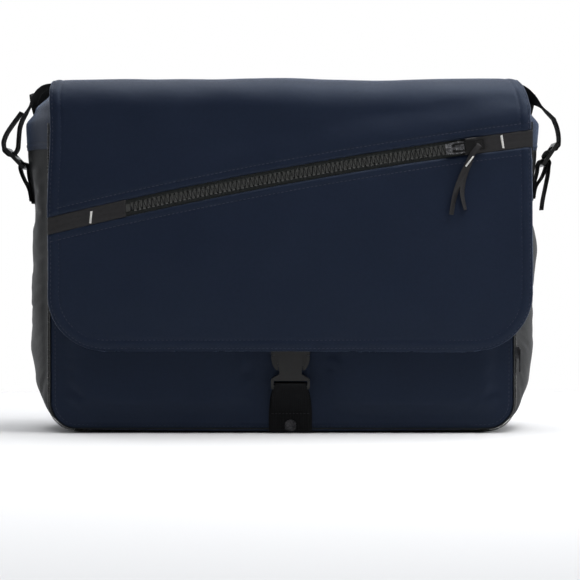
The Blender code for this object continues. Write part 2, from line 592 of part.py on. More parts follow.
def side_fitting(side, hand, foot, lean, tab, threaded, finish):
    """A sewn tab, the ladder lock that turns in it, and the strap's end threaded through the lock.

    foot is the lock's lower bar in (x, z) on the right-hand side, lean its angle from upright.
    tab is in (x, z) too, and threaded is a path of (along, out) in the lock's own frame, then of (x, z).
    """
    cloth, plastic = finish["black_cloth"], finish["plastic"]
    swing = pivot(f"lock_{hand}_swing", (side * foot[0], STRAP_Y, foot[1]))
    low, high = LOCK_BARS[0][0], LOCK_BARS[-1][1]
    half = LOCK_WIDTH / 2
    turn = Matrix.Translation((side * foot[0], STRAP_Y, foot[1])) @ Matrix.Rotation(side * lean, 4, "Y")

    def in_lock(y_low, y_high, v_low, v_high, thick):
        outline = [(y_low, v_low), (y_high, v_low), (y_high, v_high), (y_low, v_high)]
        bm = prism_mesh(outline, -thick / 2, thick / 2, axis="X")
        bmesh.ops.transform(bm, matrix=turn, verts=bm.verts[:])
        return bm

    lock = add_object(f"ladder_lock_{hand}", in_lock(-half, half, low, high, LOCK_THICK), plastic, swing)
    for k, (below, above) in enumerate(zip(LOCK_BARS, LOCK_BARS[1:])):
        cut = in_lock(-half + LOCK_RAIL, half - LOCK_RAIL, below[1], above[0], 0.02)
        combine(lock, add_object(f"lock_slot_{hand}_{k}", cut, plastic, swing), "DIFFERENCE")

    points = [(side * x, STRAP_Y, z) for x, z in tab]
    ribbon(f"side_tab_{hand}", points, STRAP_WIDTH, WEBBING, cloth, across=(0, 1, 0), steps=4)

    def from_lock(v, n):
        return (
            foot[0] + v * math.sin(lean) + n * math.cos(lean),
            foot[1] + v * math.cos(lean) - n * math.sin(lean),
        )

    route = [p if kind == "frame" else from_lock(*p) for kind, p in threaded]
    points = [(side * x, STRAP_Y, z) for x, z in route]
    ribbon(f"strap_end_{hand}", points, STRAP_WIDTH, WEBBING, cloth, swing, across=(0, 1, 0), steps=5)


def gusset_x(z):
    """The fullest point of the gusset at a height."""
    return BODY_HALF_WIDTH + follow(LOWER_BULGE, z)


def round_bar(foot):
    """The tab: up the gusset, round the lock's lower bar and down again over itself, on the right-hand side."""
    x, z = foot
    inner, outer = FIT + WEBBING, FIT + WEBBING * 2.3
    return [
        (gusset_x(z - 0.032) + inner, z - 0.0320), (gusset_x(z - 0.020) + inner, z - 0.0200),
        (max(x - 0.0044, gusset_x(z - 0.0075) + inner), z - 0.0075), (x - 0.0036, z - 0.0010),
        (x - 0.0024, z + 0.0024), (x, z + 0.0035), (x + 0.0026, z + 0.0023), (x + 0.0035, z - 0.0008),
        (x + 0.0022, z - 0.0060), (x - 0.0004, z - 0.0120), (gusset_x(z - 0.020) + outer + 0.0004, z - 0.0200),
        (gusset_x(z - 0.030) + outer, z - 0.0300),
    ]


def build_strap(finish):
    left_foot, right_foot = (0.2240, 0.2265), (0.2256, 0.2290)
    left_join, right_join = (0.2258, 0.2670), (0.2356, 0.2680)
    left_route = [
        ("frame", left_join), ("frame", (0.2280, 0.2600)), ("frame", (0.2290, 0.2500)),
        ("lock", (0.0152, -0.0065)), ("lock", (0.0140, 0.0)), ("lock", (0.0152, 0.0024)), ("lock", (0.0180, 0.0030)),
        ("lock", (0.0215, 0.0030)), ("lock", (0.0235, 0.0016)), ("frame", (0.2420, 0.2480)),
        ("frame", (0.2395, 0.2550)), ("frame", (0.2350, 0.2620)), ("frame", (0.2295, 0.2695)),
        ("frame", (0.2262, 0.2740)),
    ]
    side_fitting(-1, "left", left_foot, math.radians(44), round_bar(left_foot), left_route, finish)
    right_route = [
        ("frame", right_join), ("frame", (0.2384, 0.2610)), ("frame", (0.2400, 0.2530)),
        ("lock", (0.0215, 0.0028)), ("lock", (0.0188, 0.0028)), ("lock", (0.0164, 0.0028)), ("lock", (0.0146, 0.0006)),
        ("lock", (0.0136, -0.0008)), ("lock", (0.0120, -0.0026)), ("lock", (0.0094, -0.0030)),
        ("lock", (0.0066, -0.0026)), ("lock", (0.0059, -0.0008)), ("lock", (0.0058, 0.0020)),
        ("lock", (0.0044, 0.0046)), ("lock", (0.0010, 0.0062)), ("frame", (0.2306, 0.2190)),
        ("frame", (0.2284, 0.2080)), ("frame", (0.2262, 0.1970)), ("frame", (0.2252, 0.1890)),
    ]
    side_fitting(1, "right", right_foot, math.radians(34), round_bar(right_foot), right_route, finish)

    # The long run: each point, the direction of the webbing's width there and how much of it is left where it
    # gathers. It leaves a fitting, turns over the wing's back corner and hangs behind the back panel.
    along_y = (0.0, 1.0, 0.0)

    def turn(join, places):
        """The first stretch, from a fitting: it gathers while it turns from up to back."""
        foot, tip = Vector((join[0], STRAP_Y, join[1])), Vector(places[0])
        first = foot + (tip - foot).normalized() * 0.0016
        ways = [along_y, (0.0, 0.90, -0.43), (0.10, 0.58, -0.81), (0.30, 0.22, -0.92)]
        half_way = (foot + tip) / 2
        return [(first, along_y, 1), (half_way, along_y, 0.80), *zip(places, ways, (0.56, 0.42, 0.40, 0.48))]

    left_turn = turn(left_join, [(0.2200, 0.0040, 0.2805), (0.2190, 0.0052, 0.2862), (0.2170, 0.0096, 0.2908),
                                 (0.2145, 0.0160, 0.2922)])
    right_turn = turn(right_join, [(0.2262, 0.0040, 0.2795), (0.2220, 0.0056, 0.2860), (0.2180, 0.0100, 0.2904),
                                   (0.2150, 0.0160, 0.2920)])
    half = [
        ((0.2118, 0.0270, 0.2945), (0.66, 0.10, -0.70), 0.60), ((0.2102, 0.0400, 0.2962), (0.85, 0.05, -0.52), 0.68),
        ((0.2092, 0.0530, 0.2962), (0.94, 0.03, -0.33), 0.78), ((0.2085, 0.0660, 0.2938), (0.98, 0.05, -0.15), 0.90),
        ((0.2065, 0.0760, 0.2855), (0.99, 0.10, -0.05), 1),
        ((0.2030, 0.0805, 0.2720), (0.97, 0.10, -0.20), 1), ((0.1960, 0.0820, 0.2430), (0.97, 0.05, -0.20), 1),
        ((0.1890, 0.0835, 0.2080), (0.95, 0.25, -0.20), 1), ((0.1790, 0.0870, 0.1650), (0.80, 0.55, -0.20), 1),
        ((0.1620, 0.0900, 0.1180), (0.45, 0.88, -0.10), 1), ((0.1330, 0.0905, 0.0760), (0.15, 0.98, 0.0), 1),
        ((0.0930, 0.0905, 0.0460), along_y, 1), ((0.0480, 0.0905, 0.0310), along_y, 1),
    ]
    right = [*right_turn, *half]
    left = [((-p[0], p[1], p[2]), (-w[0], w[1], w[2]), k) for p, w, k in [*left_turn, *half]]
    whole = [*left, ((0.0, 0.0905, 0.0265), along_y, 1), *right[::-1]]
    ribbon("shoulder_strap", [p for p, _, _ in whole], [STRAP_WIDTH * k for _, _, k in whole], WEBBING,
           finish["black_cloth"], across=[w for _, w, _ in whole], steps=4)


# ---------------------------------------------------------------- the whole bag
def build():
    clear_scene()
    finish = {
        "navy": material("navy_canvas", NAVY, 0.85),
        "leatherette": material("leatherette", LEATHERETTE, 0.42),
        "black_cloth": material("black_webbing", BLACK_CLOTH, 0.80),
        "plastic": material("black_plastic", BLACK_PLASTIC, 0.40),
        "lining": material("grey_lining", LINING_GREY, 0.70),
        "gunmetal": material("gunmetal", GUNMETAL, 0.28, 1.0),
        "board": material("base_board", BOARD_GREY, 0.80),
    }
    build_body(finish)
    build_seam_zip(finish)
    back_hinge = pivot("flap_back_hinge", (0, HINGE_Y, HINGE_Z))
    build_flap_top(finish, back_hinge)
    front_fold = pivot("flap_front_fold", (0, FOLD_Y, FOLD_Z), back_hinge)
    build_flap_front(finish, front_fold)
    build_zip_slider(finish, front_fold)
    build_buckle(finish, front_fold)
    build_strap(finish)


build()
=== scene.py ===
"""Looks for the messenger-style diaper bag: cloth, leatherette, webbing, zips and buckle, in metres.

+X is the bag's right as it is looked at, +Y its back, +Z up. Every piece is made here in mesh code and rides the
CAD body it belongs to. Cloth pieces carry a "weave" attribute, the place on the cut cloth in metres, for their yarns.
"""

import math

import bmesh
import bpy
import numpy as np
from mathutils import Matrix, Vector


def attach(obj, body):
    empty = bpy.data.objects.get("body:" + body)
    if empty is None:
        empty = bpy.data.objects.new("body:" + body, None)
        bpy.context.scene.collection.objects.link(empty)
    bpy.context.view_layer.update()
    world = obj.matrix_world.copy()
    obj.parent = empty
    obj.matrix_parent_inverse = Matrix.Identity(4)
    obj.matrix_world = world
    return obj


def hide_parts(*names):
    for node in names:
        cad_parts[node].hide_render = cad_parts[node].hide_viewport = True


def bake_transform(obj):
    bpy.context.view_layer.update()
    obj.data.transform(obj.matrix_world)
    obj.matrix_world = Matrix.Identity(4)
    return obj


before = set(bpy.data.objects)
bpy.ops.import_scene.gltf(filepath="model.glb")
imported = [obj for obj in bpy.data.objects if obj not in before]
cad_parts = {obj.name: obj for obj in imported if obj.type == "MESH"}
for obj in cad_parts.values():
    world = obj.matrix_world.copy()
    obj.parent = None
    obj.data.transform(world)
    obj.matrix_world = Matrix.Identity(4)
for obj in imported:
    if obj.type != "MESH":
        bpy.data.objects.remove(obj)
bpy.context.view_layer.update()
scene = bpy.context.scene

# ---------------------------------------------------------------- the CAD's dimensions
# HALF, LOW and CORNER are the front panel's outline; G_ is the gusset, R the flap's roll, S_ a place along the flap.
FIT = 0.0003
HALF, LOW, CORNER = 0.196, 0.004, 0.022
FRONT_TOP, BACK_TOP, FRONT_Y, BACK_Y, PANEL = 0.275, 0.2905, -0.0660, 0.0642, 0.0020
G_FRONT, G_BACK, JOIN, WING_TOP = -0.0572, 0.0618, 0.2400, 0.2890
R, FOLD_Y, FOLD_Z = 0.0280, -0.0537, 0.2705
TOP, FRONT = FOLD_Z + R, FOLD_Y - R
BOTTOM, FLAP_CORNER, LEFT, RIGHT_TOP, RIGHT_LOW = 0.0700, 0.0480, -0.1970, 0.2085, 0.2120
ROLL = R * math.pi / 2
TOP_DEPTH = 0.1172             # the flap's flat top, from the roll back to the hinge
S_BACK = -ROLL - TOP_DEPTH     # the flap's back end, along the cloth from the roll's foot
DROP = FOLD_Z - BOTTOM         # the flap's lower edge, along the cloth from the roll's foot
FLAP_WIDTH, EDGE_BAND, CLOTH = 0.405, 0.0125, 0.0019
FRONT_SAG, ROW_DEPTH, STRAP_SHARES = 0.0024, 0.00030, (0.56, 0.42, 0.40, 0.48)
SLOT = 0.0070                  # half the flap's opening for its zip
ZIP_LEFT, ZIP_RIGHT, SLIDER_X = -0.1270, 0.1538, 0.1453
ZIP_R, ZIP_CX, ZIP_CZ = 3.60, 0.650788, -3.323986
BUCKLE_X, WEBBING, STRAP_WIDTH, STRAP_Y = 0.0071, 0.0012, 0.0380, 0.0040
LOWER_BULGE = [(0.004, 0.0), (0.012, 0.004), (0.045, 0.0155), (0.075, 0.0190), (0.110, 0.0195),
               (0.150, 0.0180), (0.185, 0.0180), (0.240, 0.0245)]
WING_BULGE = [(0.240, 0.0255), (0.262, 0.0265), (0.275, 0.0220), (0.289, 0.0130)]
WING_LEAN = [(0.240, 0.0), (0.262, 0.0), (0.275, -0.0040), (0.289, -0.0080)]


# ---------------------------------------------------------------- numbers
def follow(table, at):
    """Values at places in a table of (place, value), eased between its entries."""
    at = np.asarray(at, float)
    out = np.full(at.shape, table[0][1])
    for (a, low), (b, high) in zip(table, table[1:]):
        t = np.clip((at - a) / (b - a), 0, 1)
        out = out + (high - low) * t * t * (3 - 2 * t)
    return out


def ease(a, b, at):
    """From 0 to 1, smoothly, between two places."""
    t = np.clip((np.asarray(at, float) - a) / (b - a), 0, 1)
    return t * t * (3 - 2 * t)


def ripple(u, v, size, seed, waves=9, stretch=1.0):
    """Smooth unevenness from about -1 to 1, with waves of about a size."""
    rng = np.random.default_rng(seed)
    total = np.zeros(np.broadcast(u, v).shape)
    for _ in range(waves):
        angle, phase = rng.uniform(0, math.pi), rng.uniform(0, 2 * math.pi)
        k = 2 * math.pi / (size * rng.uniform(0.7, 1.6))
        total = total + np.sin(k * (u * math.cos(angle) + v * math.sin(angle) / stretch) + phase)
    return total / math.sqrt(waves) / 1.3


def zip_z(x, off=0.0):
    """The height of the flap zip's arc, or of one at a distance above it."""
    return ZIP_CZ + np.sqrt((ZIP_R + off) ** 2 - (np.asarray(x, float) - ZIP_CX) ** 2)


def smooth_line(points, steps):
    """A Catmull-Rom curve through the points."""
    points = [np.asarray(p, float) for p in points]
    ends = [2 * points[0] - points[1], *points, 2 * points[-1] - points[-2]]
    line = []
    for a, b, c, d in zip(ends, ends[1:], ends[2:], ends[3:]):
        for i in range(steps):
            t = i / steps
            line.append(
                0.5 * (2 * b + (c - a) * t + (2 * a - 5 * b + 4 * c - d) * t**2 + (3 * b - a - 3 * c + d) * t**3)
            )
    return np.array([*line, points[-1]])


def spaced(a, b, edge, fine, coarse):
    """Places from a to b, fine within an edge's width of both ends and coarse between."""
    band = np.arange(0, edge + fine / 2, fine)
    mid = np.linspace(a + edge, b - edge, max(2, int(round((b - a - 2 * edge) / coarse)) + 1))[1:-1]
    return np.concatenate([a + band, mid, b - band[::-1]])


def beside(*parts):
    """Values side by side, such as a point's x, y and z; a single number stands for all points."""
    return np.stack(np.broadcast_arrays(*parts), -1)


def net(rows, cols):
    """Every pair of a row's and a column's value, as two grids."""
    return np.meshgrid(rows, cols, indexing="ij")


def unit(v):
    return v / np.maximum(np.linalg.norm(v, axis=-1, keepdims=True), 1e-12)


def lengths(line):
    return np.concatenate([[0], np.cumsum(np.linalg.norm(np.diff(line, axis=0), axis=1))])


# ---------------------------------------------------------------- materials
class Finish:
    """A node material, with short calls for the nodes that these finishes are made of."""

    def __init__(self, name):
        self.made = bpy.data.materials.new(name)
        self.made.use_nodes = True
        self.tree = self.made.node_tree
        self.shader = self.tree.nodes["Principled BSDF"]

    def put(self, kind, **values):
        node = self.tree.nodes.new(kind)
        for key, value in values.items():
            if hasattr(node, key):
                setattr(node, key, value)
            else:
                node.inputs[key].default_value = value
        return node

    def link(self, out, to):
        self.tree.links.new(out, to)

    def set(self, **values):
        for key, value in values.items():
            socket = self.shader.inputs[key.replace("_", " ")]
            socket.default_value = (*value, 1.0) if isinstance(value, tuple) else value

    def math(self, operation, a, b=None):
        node = self.put("ShaderNodeMath", operation=operation)
        for socket, value in ((node.inputs[0], a), (node.inputs[1], b)):
            if value is None:
                continue
            if isinstance(value, (int, float)):
                socket.default_value = value
            else:
                self.link(value, socket)
        return node.outputs[0]

    def total(self, a, share_a, b, share_b):
        """The weighted sum of two values."""
        return self.math("ADD", self.math("MULTIPLY", a, share_a), self.math("MULTIPLY", b, share_b))

    def place(self):
        return self.put("ShaderNodeTexCoord").outputs["Object"]

    def noise(self, scale, detail=3.0, rough=0.55, at=None):
        node = self.put("ShaderNodeTexNoise")
        node.inputs["Scale"].default_value = scale
        node.inputs["Detail"].default_value = detail
        node.inputs["Roughness"].default_value = rough
        self.link(at if at is not None else self.place(), node.inputs["Vector"])
        return node.outputs["Fac"]

    def remap(self, value, a, b, low, high):
        node = self.put("ShaderNodeMapRange")
        for key, bound in (("From Min", a), ("From Max", b), ("To Min", low), ("To Max", high)):
            node.inputs[key].default_value = bound
        self.link(value, node.inputs["Value"])
        return node.outputs["Result"]

    def mix(self, fac, a, b):
        node = self.put("ShaderNodeMix", data_type="RGBA")
        self.link(fac, node.inputs["Factor"])
        for socket, value in ((node.inputs[6], a), (node.inputs[7], b)):
            if isinstance(value, tuple):
                socket.default_value = (*value, 1.0)
            else:
                self.link(value, socket)
        return node.outputs[2]

    def bump(self, height, strength, distance, after=None):
        node = self.put("ShaderNodeBump")
        node.inputs["Strength"].default_value = strength
        node.inputs["Distance"].default_value = distance
        self.link(height, node.inputs["Height"])
        if after is not None:
            self.link(after, node.inputs["Normal"])
        return node.outputs["Normal"]

    def finish(self, colour, rough, normal):
        self.link(colour, self.shader.inputs["Base Color"])
        self.link(rough, self.shader.inputs["Roughness"])
        self.link(normal, self.shader.inputs["Normal"])
        return self.made


def woven(name, dark, light, yarn, rough, specular, sheen, sheen_tint, twill=False, ribs=None, lift=0.5, nap=0.38,
          gloss=(1.0, 1.0, 1.0)):
    """Cloth whose yarns follow the weave attribute; ribs is the pitch of ribs along it, as in webbing."""
    f = Finish(name)
    f.set(Specular_IOR_Level=specular, Specular_Tint=gloss)
    f.set(Sheen_Weight=sheen, Sheen_Roughness=nap, Sheen_Tint=sheen_tint)
    weave = f.put("ShaderNodeAttribute", attribute_name="weave").outputs["Vector"]
    wander = f.noise(90.0, 2.0, at=weave)
    split = f.put("ShaderNodeSeparateXYZ")
    f.link(weave, split.inputs[0])
    k = 2 * math.pi / yarn
    bend = f.math("MULTIPLY", wander, 0.0022)
    u = f.math("ADD", split.outputs[0], bend)
    v = f.math("ADD", split.outputs[1], bend)
    if twill:
        su = f.math("SINE", f.math("MULTIPLY", f.math("ADD", u, v), k))
        sv = f.math("SINE", f.math("MULTIPLY", f.math("SUBTRACT", u, v), k * 2.1))
        height = f.total(su, 0.36, sv, 0.14)
    else:
        su = f.math("SINE", f.math("MULTIPLY", u, k))
        sv = f.math("SINE", f.math("MULTIPLY", v, k))
        height = f.math("MULTIPLY", f.math("MULTIPLY", su, sv), 0.5)
    if ribs:
        rib = f.math("SINE", f.math("MULTIPLY", split.outputs[0], 2 * math.pi / ribs))
        height = f.total(height, 0.55, rib, 0.45)
    height = f.math("ADD", height, 0.5)
    slub = f.noise(1100.0, 2.0, at=weave)
    mottle = f.noise(330.0, 3.0, 0.65, at=weave)
    cloud = f.noise(14.0, 4.0, 0.6, at=weave)
    shade = f.math("ADD", f.total(height, 0.40, slub, 0.35), f.total(cloud, 0.45, mottle, 0.75))
    colour = f.mix(f.remap(shade, 0.55, 1.40, 0.0, 1.0), dark, light)
    roughness = f.remap(f.total(slub, 0.5, cloud, 0.5), 0.3, 0.7, rough - 0.06, min(rough + 0.06, 1.0))
    fine = f.bump(f.math("ADD", height, f.math("MULTIPLY", slub, 0.5)), lift, 0.00012)
    normal = f.bump(f.noise(160.0, 4.0, at=weave), 0.10, 0.0012, fine)
    return f.finish(colour, roughness, normal)


def leather(name):
    """Soft coated cloth: a fine pebble grain, creases and a satin gloss that is worn duller in places."""
    f = Finish(name)
    f.set(Specular_IOR_Level=0.14)
    at = f.place()
    grain = f.put("ShaderNodeTexVoronoi", feature="DISTANCE_TO_EDGE")
    grain.inputs["Scale"].default_value = 900.0
    f.link(at, grain.inputs["Vector"])
    pebble = f.remap(grain.outputs["Distance"], 0.0, 0.35, 0.0, 1.0)
    crease = f.noise(55.0, 5.0, 0.62)
    cloud = f.noise(16.0, 3.0)
    shade = f.total(pebble, 0.30, cloud, 0.70)
    colour = f.mix(f.remap(shade, 0.2, 0.9, 0.0, 1.0), (0.0075, 0.0083, 0.0090), (0.0165, 0.0175, 0.0185))
    rough = f.remap(f.total(cloud, 0.7, crease, 0.3), 0.3, 0.7, 0.46, 0.60)
    normal = f.bump(crease, 0.16, 0.0016, f.bump(pebble, 0.40, 0.00012))
    return f.finish(colour, rough, normal)


def moulded(name, dark, light, low, high, specular=0.45):
    """Moulded plastic with a fine spark-eroded grain and faint handling marks."""
    f = Finish(name)
    f.set(Specular_IOR_Level=specular)
    fine, cloud = f.noise(2600.0, 2.0), f.noise(120.0, 4.0)
    marks = f.noise(420.0, 6.0, 0.7)
    colour = f.mix(f.remap(f.total(fine, 0.4, marks, 0.6), 0.35, 0.7, 0.0, 1.0), dark, light)
    rough = f.remap(f.total(cloud, 0.5, marks, 0.5), 0.35, 0.65, low, high)
    normal = f.bump(marks, 0.05, 0.0003, f.bump(fine, 0.25, 0.00006))
    return f.finish(colour, rough, normal)


def plated(name, dark, light, low, high):
    """Dark plated metal, brighter where it is rubbed."""
    f = Finish(name)
    f.set(Metallic=1.0, Specular_IOR_Level=0.5)
    rub, fine = f.noise(300.0, 5.0, 0.65), f.noise(2200.0, 2.0)
    colour = f.mix(f.remap(rub, 0.42, 0.72, 0.0, 1.0), dark, light)
    rough = f.remap(f.total(rub, 0.6, fine, 0.4), 0.35, 0.7, low, high)
    return f.finish(colour, rough, f.bump(rub, 0.06, 0.0003))


def thread(name, dark, light):
    """Twisted sewing thread."""
    f = Finish(name)
    f.set(Specular_IOR_Level=0.25, Sheen_Weight=0.10)
    twist, cloud = f.noise(3200.0, 2.0), f.noise(220.0, 2.0)
    colour = f.mix(f.remap(f.total(twist, 0.6, cloud, 0.4), 0.3, 0.7, 0.0, 1.0), dark, light)
    return f.finish(colour, f.remap(twist, 0.3, 0.7, 0.50, 0.68), f.bump(twist, 0.3, 0.0001))


NAVY = woven("canvas_navy", (0.0025, 0.0055, 0.0170), (0.0068, 0.0120, 0.0300), 0.00085, 0.51, 0.29, 0.45,
             (0.50, 0.66, 1.0), twill=True, nap=0.22, gloss=(0.66, 0.80, 1.0))
LINING = woven("lining_grey", (0.075, 0.080, 0.088), (0.125, 0.130, 0.142), 0.00050, 0.66, 0.22, 0.10,
               (0.9, 0.9, 1.0), lift=0.35)
WEB = woven("webbing_black", (0.0026, 0.0028, 0.0033), (0.0080, 0.0084, 0.0094), 0.00110, 0.74, 0.10, 0.02,
            (0.8, 0.8, 0.85), ribs=0.0021, lift=0.7)
TAPE = woven("zip_tape_black", (0.0060, 0.0072, 0.0072), (0.0190, 0.0215, 0.0210), 0.00070, 0.72, 0.20, 0.08,
             (0.8, 0.8, 0.85), twill=True, lift=0.6)
GROSGRAIN = woven("grosgrain_black", (0.0060, 0.0058, 0.0062), (0.0230, 0.0220, 0.0235), 0.00095, 0.52, 0.28, 0.06,
                  (0.8, 0.8, 0.85), lift=0.9)
LEATHER = leather("leatherette_black")
PLASTIC = moulded("plastic_black", (0.0050, 0.0050, 0.0051), (0.0120, 0.0120, 0.0121), 0.30, 0.44, 0.38)
TEETH = moulded("zip_tooth_black", (0.0280, 0.0285, 0.0270), (0.0580, 0.0590, 0.0560), 0.20, 0.32, specular=0.6)
RUBBER = moulded("pull_rubber_black", (0.0012, 0.0012, 0.0013), (0.0032, 0.0032, 0.0034), 0.42, 0.56, 0.30)
SLIDER_METAL = plated("slider_black_nickel", (0.30, 0.30, 0.31), (0.90, 0.90, 0.91), 0.16, 0.32)
RIVET_METAL = plated("rivet_black_oxide", (0.020, 0.020, 0.022), (0.085, 0.085, 0.090), 0.26, 0.46)
NAVY_THREAD = thread("thread_navy", (0.017, 0.022, 0.040), (0.040, 0.049, 0.078))
BLACK_THREAD = thread("thread_black", (0.010, 0.010, 0.011), (0.028, 0.028, 0.030))
WHITE_THREAD = thread("thread_white", (0.55, 0.54, 0.52), (0.84, 0.83, 0.80))


# ---------------------------------------------------------------- mesh tools
def mesh_piece(name, verts, faces, mat, weave=None, angle=50):
    mesh = bpy.data.meshes.new(name)
    mesh.from_pydata(np.asarray(verts).tolist(), [], faces)
    mesh.update()
    if weave is not None:
        store = mesh.attributes.new("weave", "FLOAT_VECTOR", "POINT")
        data = np.zeros((len(mesh.vertices), 3), np.float32)
        data[:, : weave.shape[1]] = weave
        store.data.foreach_set("vector", data.ravel())
    mesh.materials.append(mat)
    mesh.shade_smooth()
    mesh.set_sharp_from_angle(angle=math.radians(angle))
    obj = bpy.data.objects.new(name, mesh)
    scene.collection.objects.link(obj)
    return obj


def grid_faces(n, m):
    """The index and the quads of a grid of n by m points."""
    index = np.arange(n * m).reshape(n, m)
    quads = beside(index[:-1, :-1], index[1:, :-1], index[1:, 1:], index[:-1, 1:]).reshape(-1, 4)
    return index, quads


def tube_faces(rings, size):
    """The index and the quads of a tube of rings."""
    index = np.arange(rings * size).reshape(rings, size)
    a, b = index[:-1], index[1:]
    return index, beside(a, np.roll(a, -1, 1), np.roll(b, -1, 1), b).reshape(-1, 4)


class Bundle:
    """Meshes gathered to be one piece."""

    def __init__(self):
        self.verts, self.faces, self.weave, self.count = [], [], [], 0

    def add(self, verts, faces, weave=None):
        verts = np.asarray(verts, float).reshape(-1, 3)
        self.verts.append(verts)
        self.faces += (np.asarray(faces) + self.count).tolist()
        self.weave.append(np.zeros((len(verts), 2)) if weave is None else np.asarray(weave).reshape(-1, 2))
        self.count += len(verts)

    def piece(self, name, mat, angle=50):
        return mesh_piece(name, np.concatenate(self.verts), self.faces, mat, np.concatenate(self.weave), angle)


def normals(grid):
    """The outward directions of a grid. In a round corner its two ways run together, so they come from further in."""
    a, b = np.gradient(grid, axis=0), np.gradient(grid, axis=1)
    cross = np.cross(a, b)
    out = unit(cross)
    size = np.linalg.norm(a, axis=-1) * np.linalg.norm(b, axis=-1)
    i, j = np.nonzero(np.linalg.norm(cross, axis=-1) < 0.30 * size)
    n, m = grid.shape[:2]
    step = min(6, n // 2 - 1, m // 2 - 1)
    out[i, j] = out[i + np.sign(n // 2 - i) * step, j + np.sign(m // 2 - j) * step]
    return out


def cloth_sheet(grid, thick, weave, out=None, rim=2):
    """Vertices, faces and weave of a closed sheet under a grid of points, with a rounded rim."""
    n, m = grid.shape[:2]
    normal = normals(grid) if out is None else out
    layers = [grid.reshape(-1, 3), (grid - normal * thick).reshape(-1, 3)]
    index, quads = grid_faces(n, m)
    faces = [quads, quads[:, ::-1] + n * m]
    ring = [(i, 0) for i in range(n - 1)] + [(n - 1, j) for j in range(m - 1)]
    ring += [(i, m - 1) for i in range(n - 1, 0, -1)] + [(0, j) for j in range(m - 1, 0, -1)]
    rows, cols = np.array([i for i, _ in ring]), np.array([j for _, j in ring])
    top = index[rows, cols]
    step_i = np.where(rows == 0, 1, np.where(rows == n - 1, -1, 0))
    step_j = np.where(cols == 0, 1, np.where(cols == m - 1, -1, 0))
    edge, inner = grid[rows, cols], grid[rows + step_i, cols + step_j]
    nor = normal[rows, cols]
    away = unit(np.cross(np.roll(edge, -1, 0) - np.roll(edge, 1, 0), nor))
    away = away * np.sign(((edge - inner) * away).sum())
    chains = [top]
    base = 2 * n * m
    extra = []
    for k in range(1, rim + 1):
        a = math.pi * k / (rim + 1)
        extra.append(edge - nor * thick * (1 - math.cos(a)) / 2 + away * thick * 0.35 * math.sin(a))
        chains.append(base + (k - 1) * len(top) + np.arange(len(top)))
    chains.append(top + n * m)
    for a, b in zip(chains, chains[1:]):
        faces.append(beside(a, b, np.roll(b, -1), np.roll(a, -1)))
    flat = weave.reshape(-1, 2)
    weave_all = np.concatenate([flat, flat] + [flat[top]] * rim)
    return np.concatenate(layers + extra), np.concatenate(faces), weave_all


def sheet_piece(name, grid, thick, weave, mat, out=None):
    verts, faces, woven_at = cloth_sheet(grid, thick, weave, out)
    return mesh_piece(name, verts, faces.tolist(), mat, woven_at, 60)


def flip(grid, weave):
    """The same sheet seen from its other side."""
    return grid[::-1], weave[::-1]


def faced(grid, weave, axis, sign):
    """The sheet, turned over if its outer face doesn't look along an axis."""
    return flip(grid, weave) if np.mean(normals(grid)[..., axis]) * sign < 0 else (grid, weave)


def band(points, width, thick, across, steps=4, cells=10, ribs=0):
    """Vertices, faces and weave of webbing along a line, with a rounded section and ribs along its length."""
    points = [np.asarray(p, float) for p in points]
    count = len(points)
    ways = [np.asarray(across, float)] * count if isinstance(across, tuple) else [np.asarray(a, float) for a in across]
    widths = list(width) if isinstance(width, (list, np.ndarray)) else [width] * count
    line, way = smooth_line(points, steps), smooth_line(ways, steps)
    wide = smooth_line([np.array([w]) for w in widths], steps)[:, 0]
    ahead = unit(np.gradient(line, axis=0))
    side = unit(way - (way * ahead).sum(1, keepdims=True) * ahead)
    face = np.cross(ahead, side)
    along = lengths(line)
    share = np.linspace(-1, 1, cells + 1)
    thin = np.sqrt(np.clip(1 - np.abs(share) ** 6, 0.12, 1))
    bars = 1 + 0.13 * np.sin(share * math.pi * ribs) if ribs else np.ones_like(share)
    half = thick / 2 * thin * bars
    rings, weave = [], []
    nominal = max(widths)
    for i in range(len(line)):
        across_at = share[:, None] * side[i] * wide[i] / 2
        front = line[i] + across_at + half[:, None] * face[i]
        back = (line[i] + across_at - half[:, None] * face[i])[::-1]
        rings.append(np.concatenate([front, back]))
        lane = share * nominal / 2
        weave.append(beside(np.concatenate([lane, lane[::-1]]), np.full(2 * len(share), along[i])))
    index, quads = tube_faces(len(line), 2 * (cells + 1))
    faces = [*quads.tolist(), index[0][::-1].tolist(), index[-1].tolist()]
    return np.concatenate(rings), faces, np.concatenate(weave)


def band_piece(name, points, width, thick, across, mat, **how):
    verts, faces, weave = band(points, width, thick, across, **how)
    obj = mesh_piece(name, verts, faces, mat, weave, 60)
    tidy_normals(obj)
    return obj


def tidy_normals(obj):
    """Turns every face of a closed mesh outwards."""
    bm = bmesh.new()
    bm.from_mesh(obj.data)
    bmesh.ops.recalc_face_normals(bm, faces=bm.faces[:])
    bm.to_mesh(obj.data)
    bm.free()


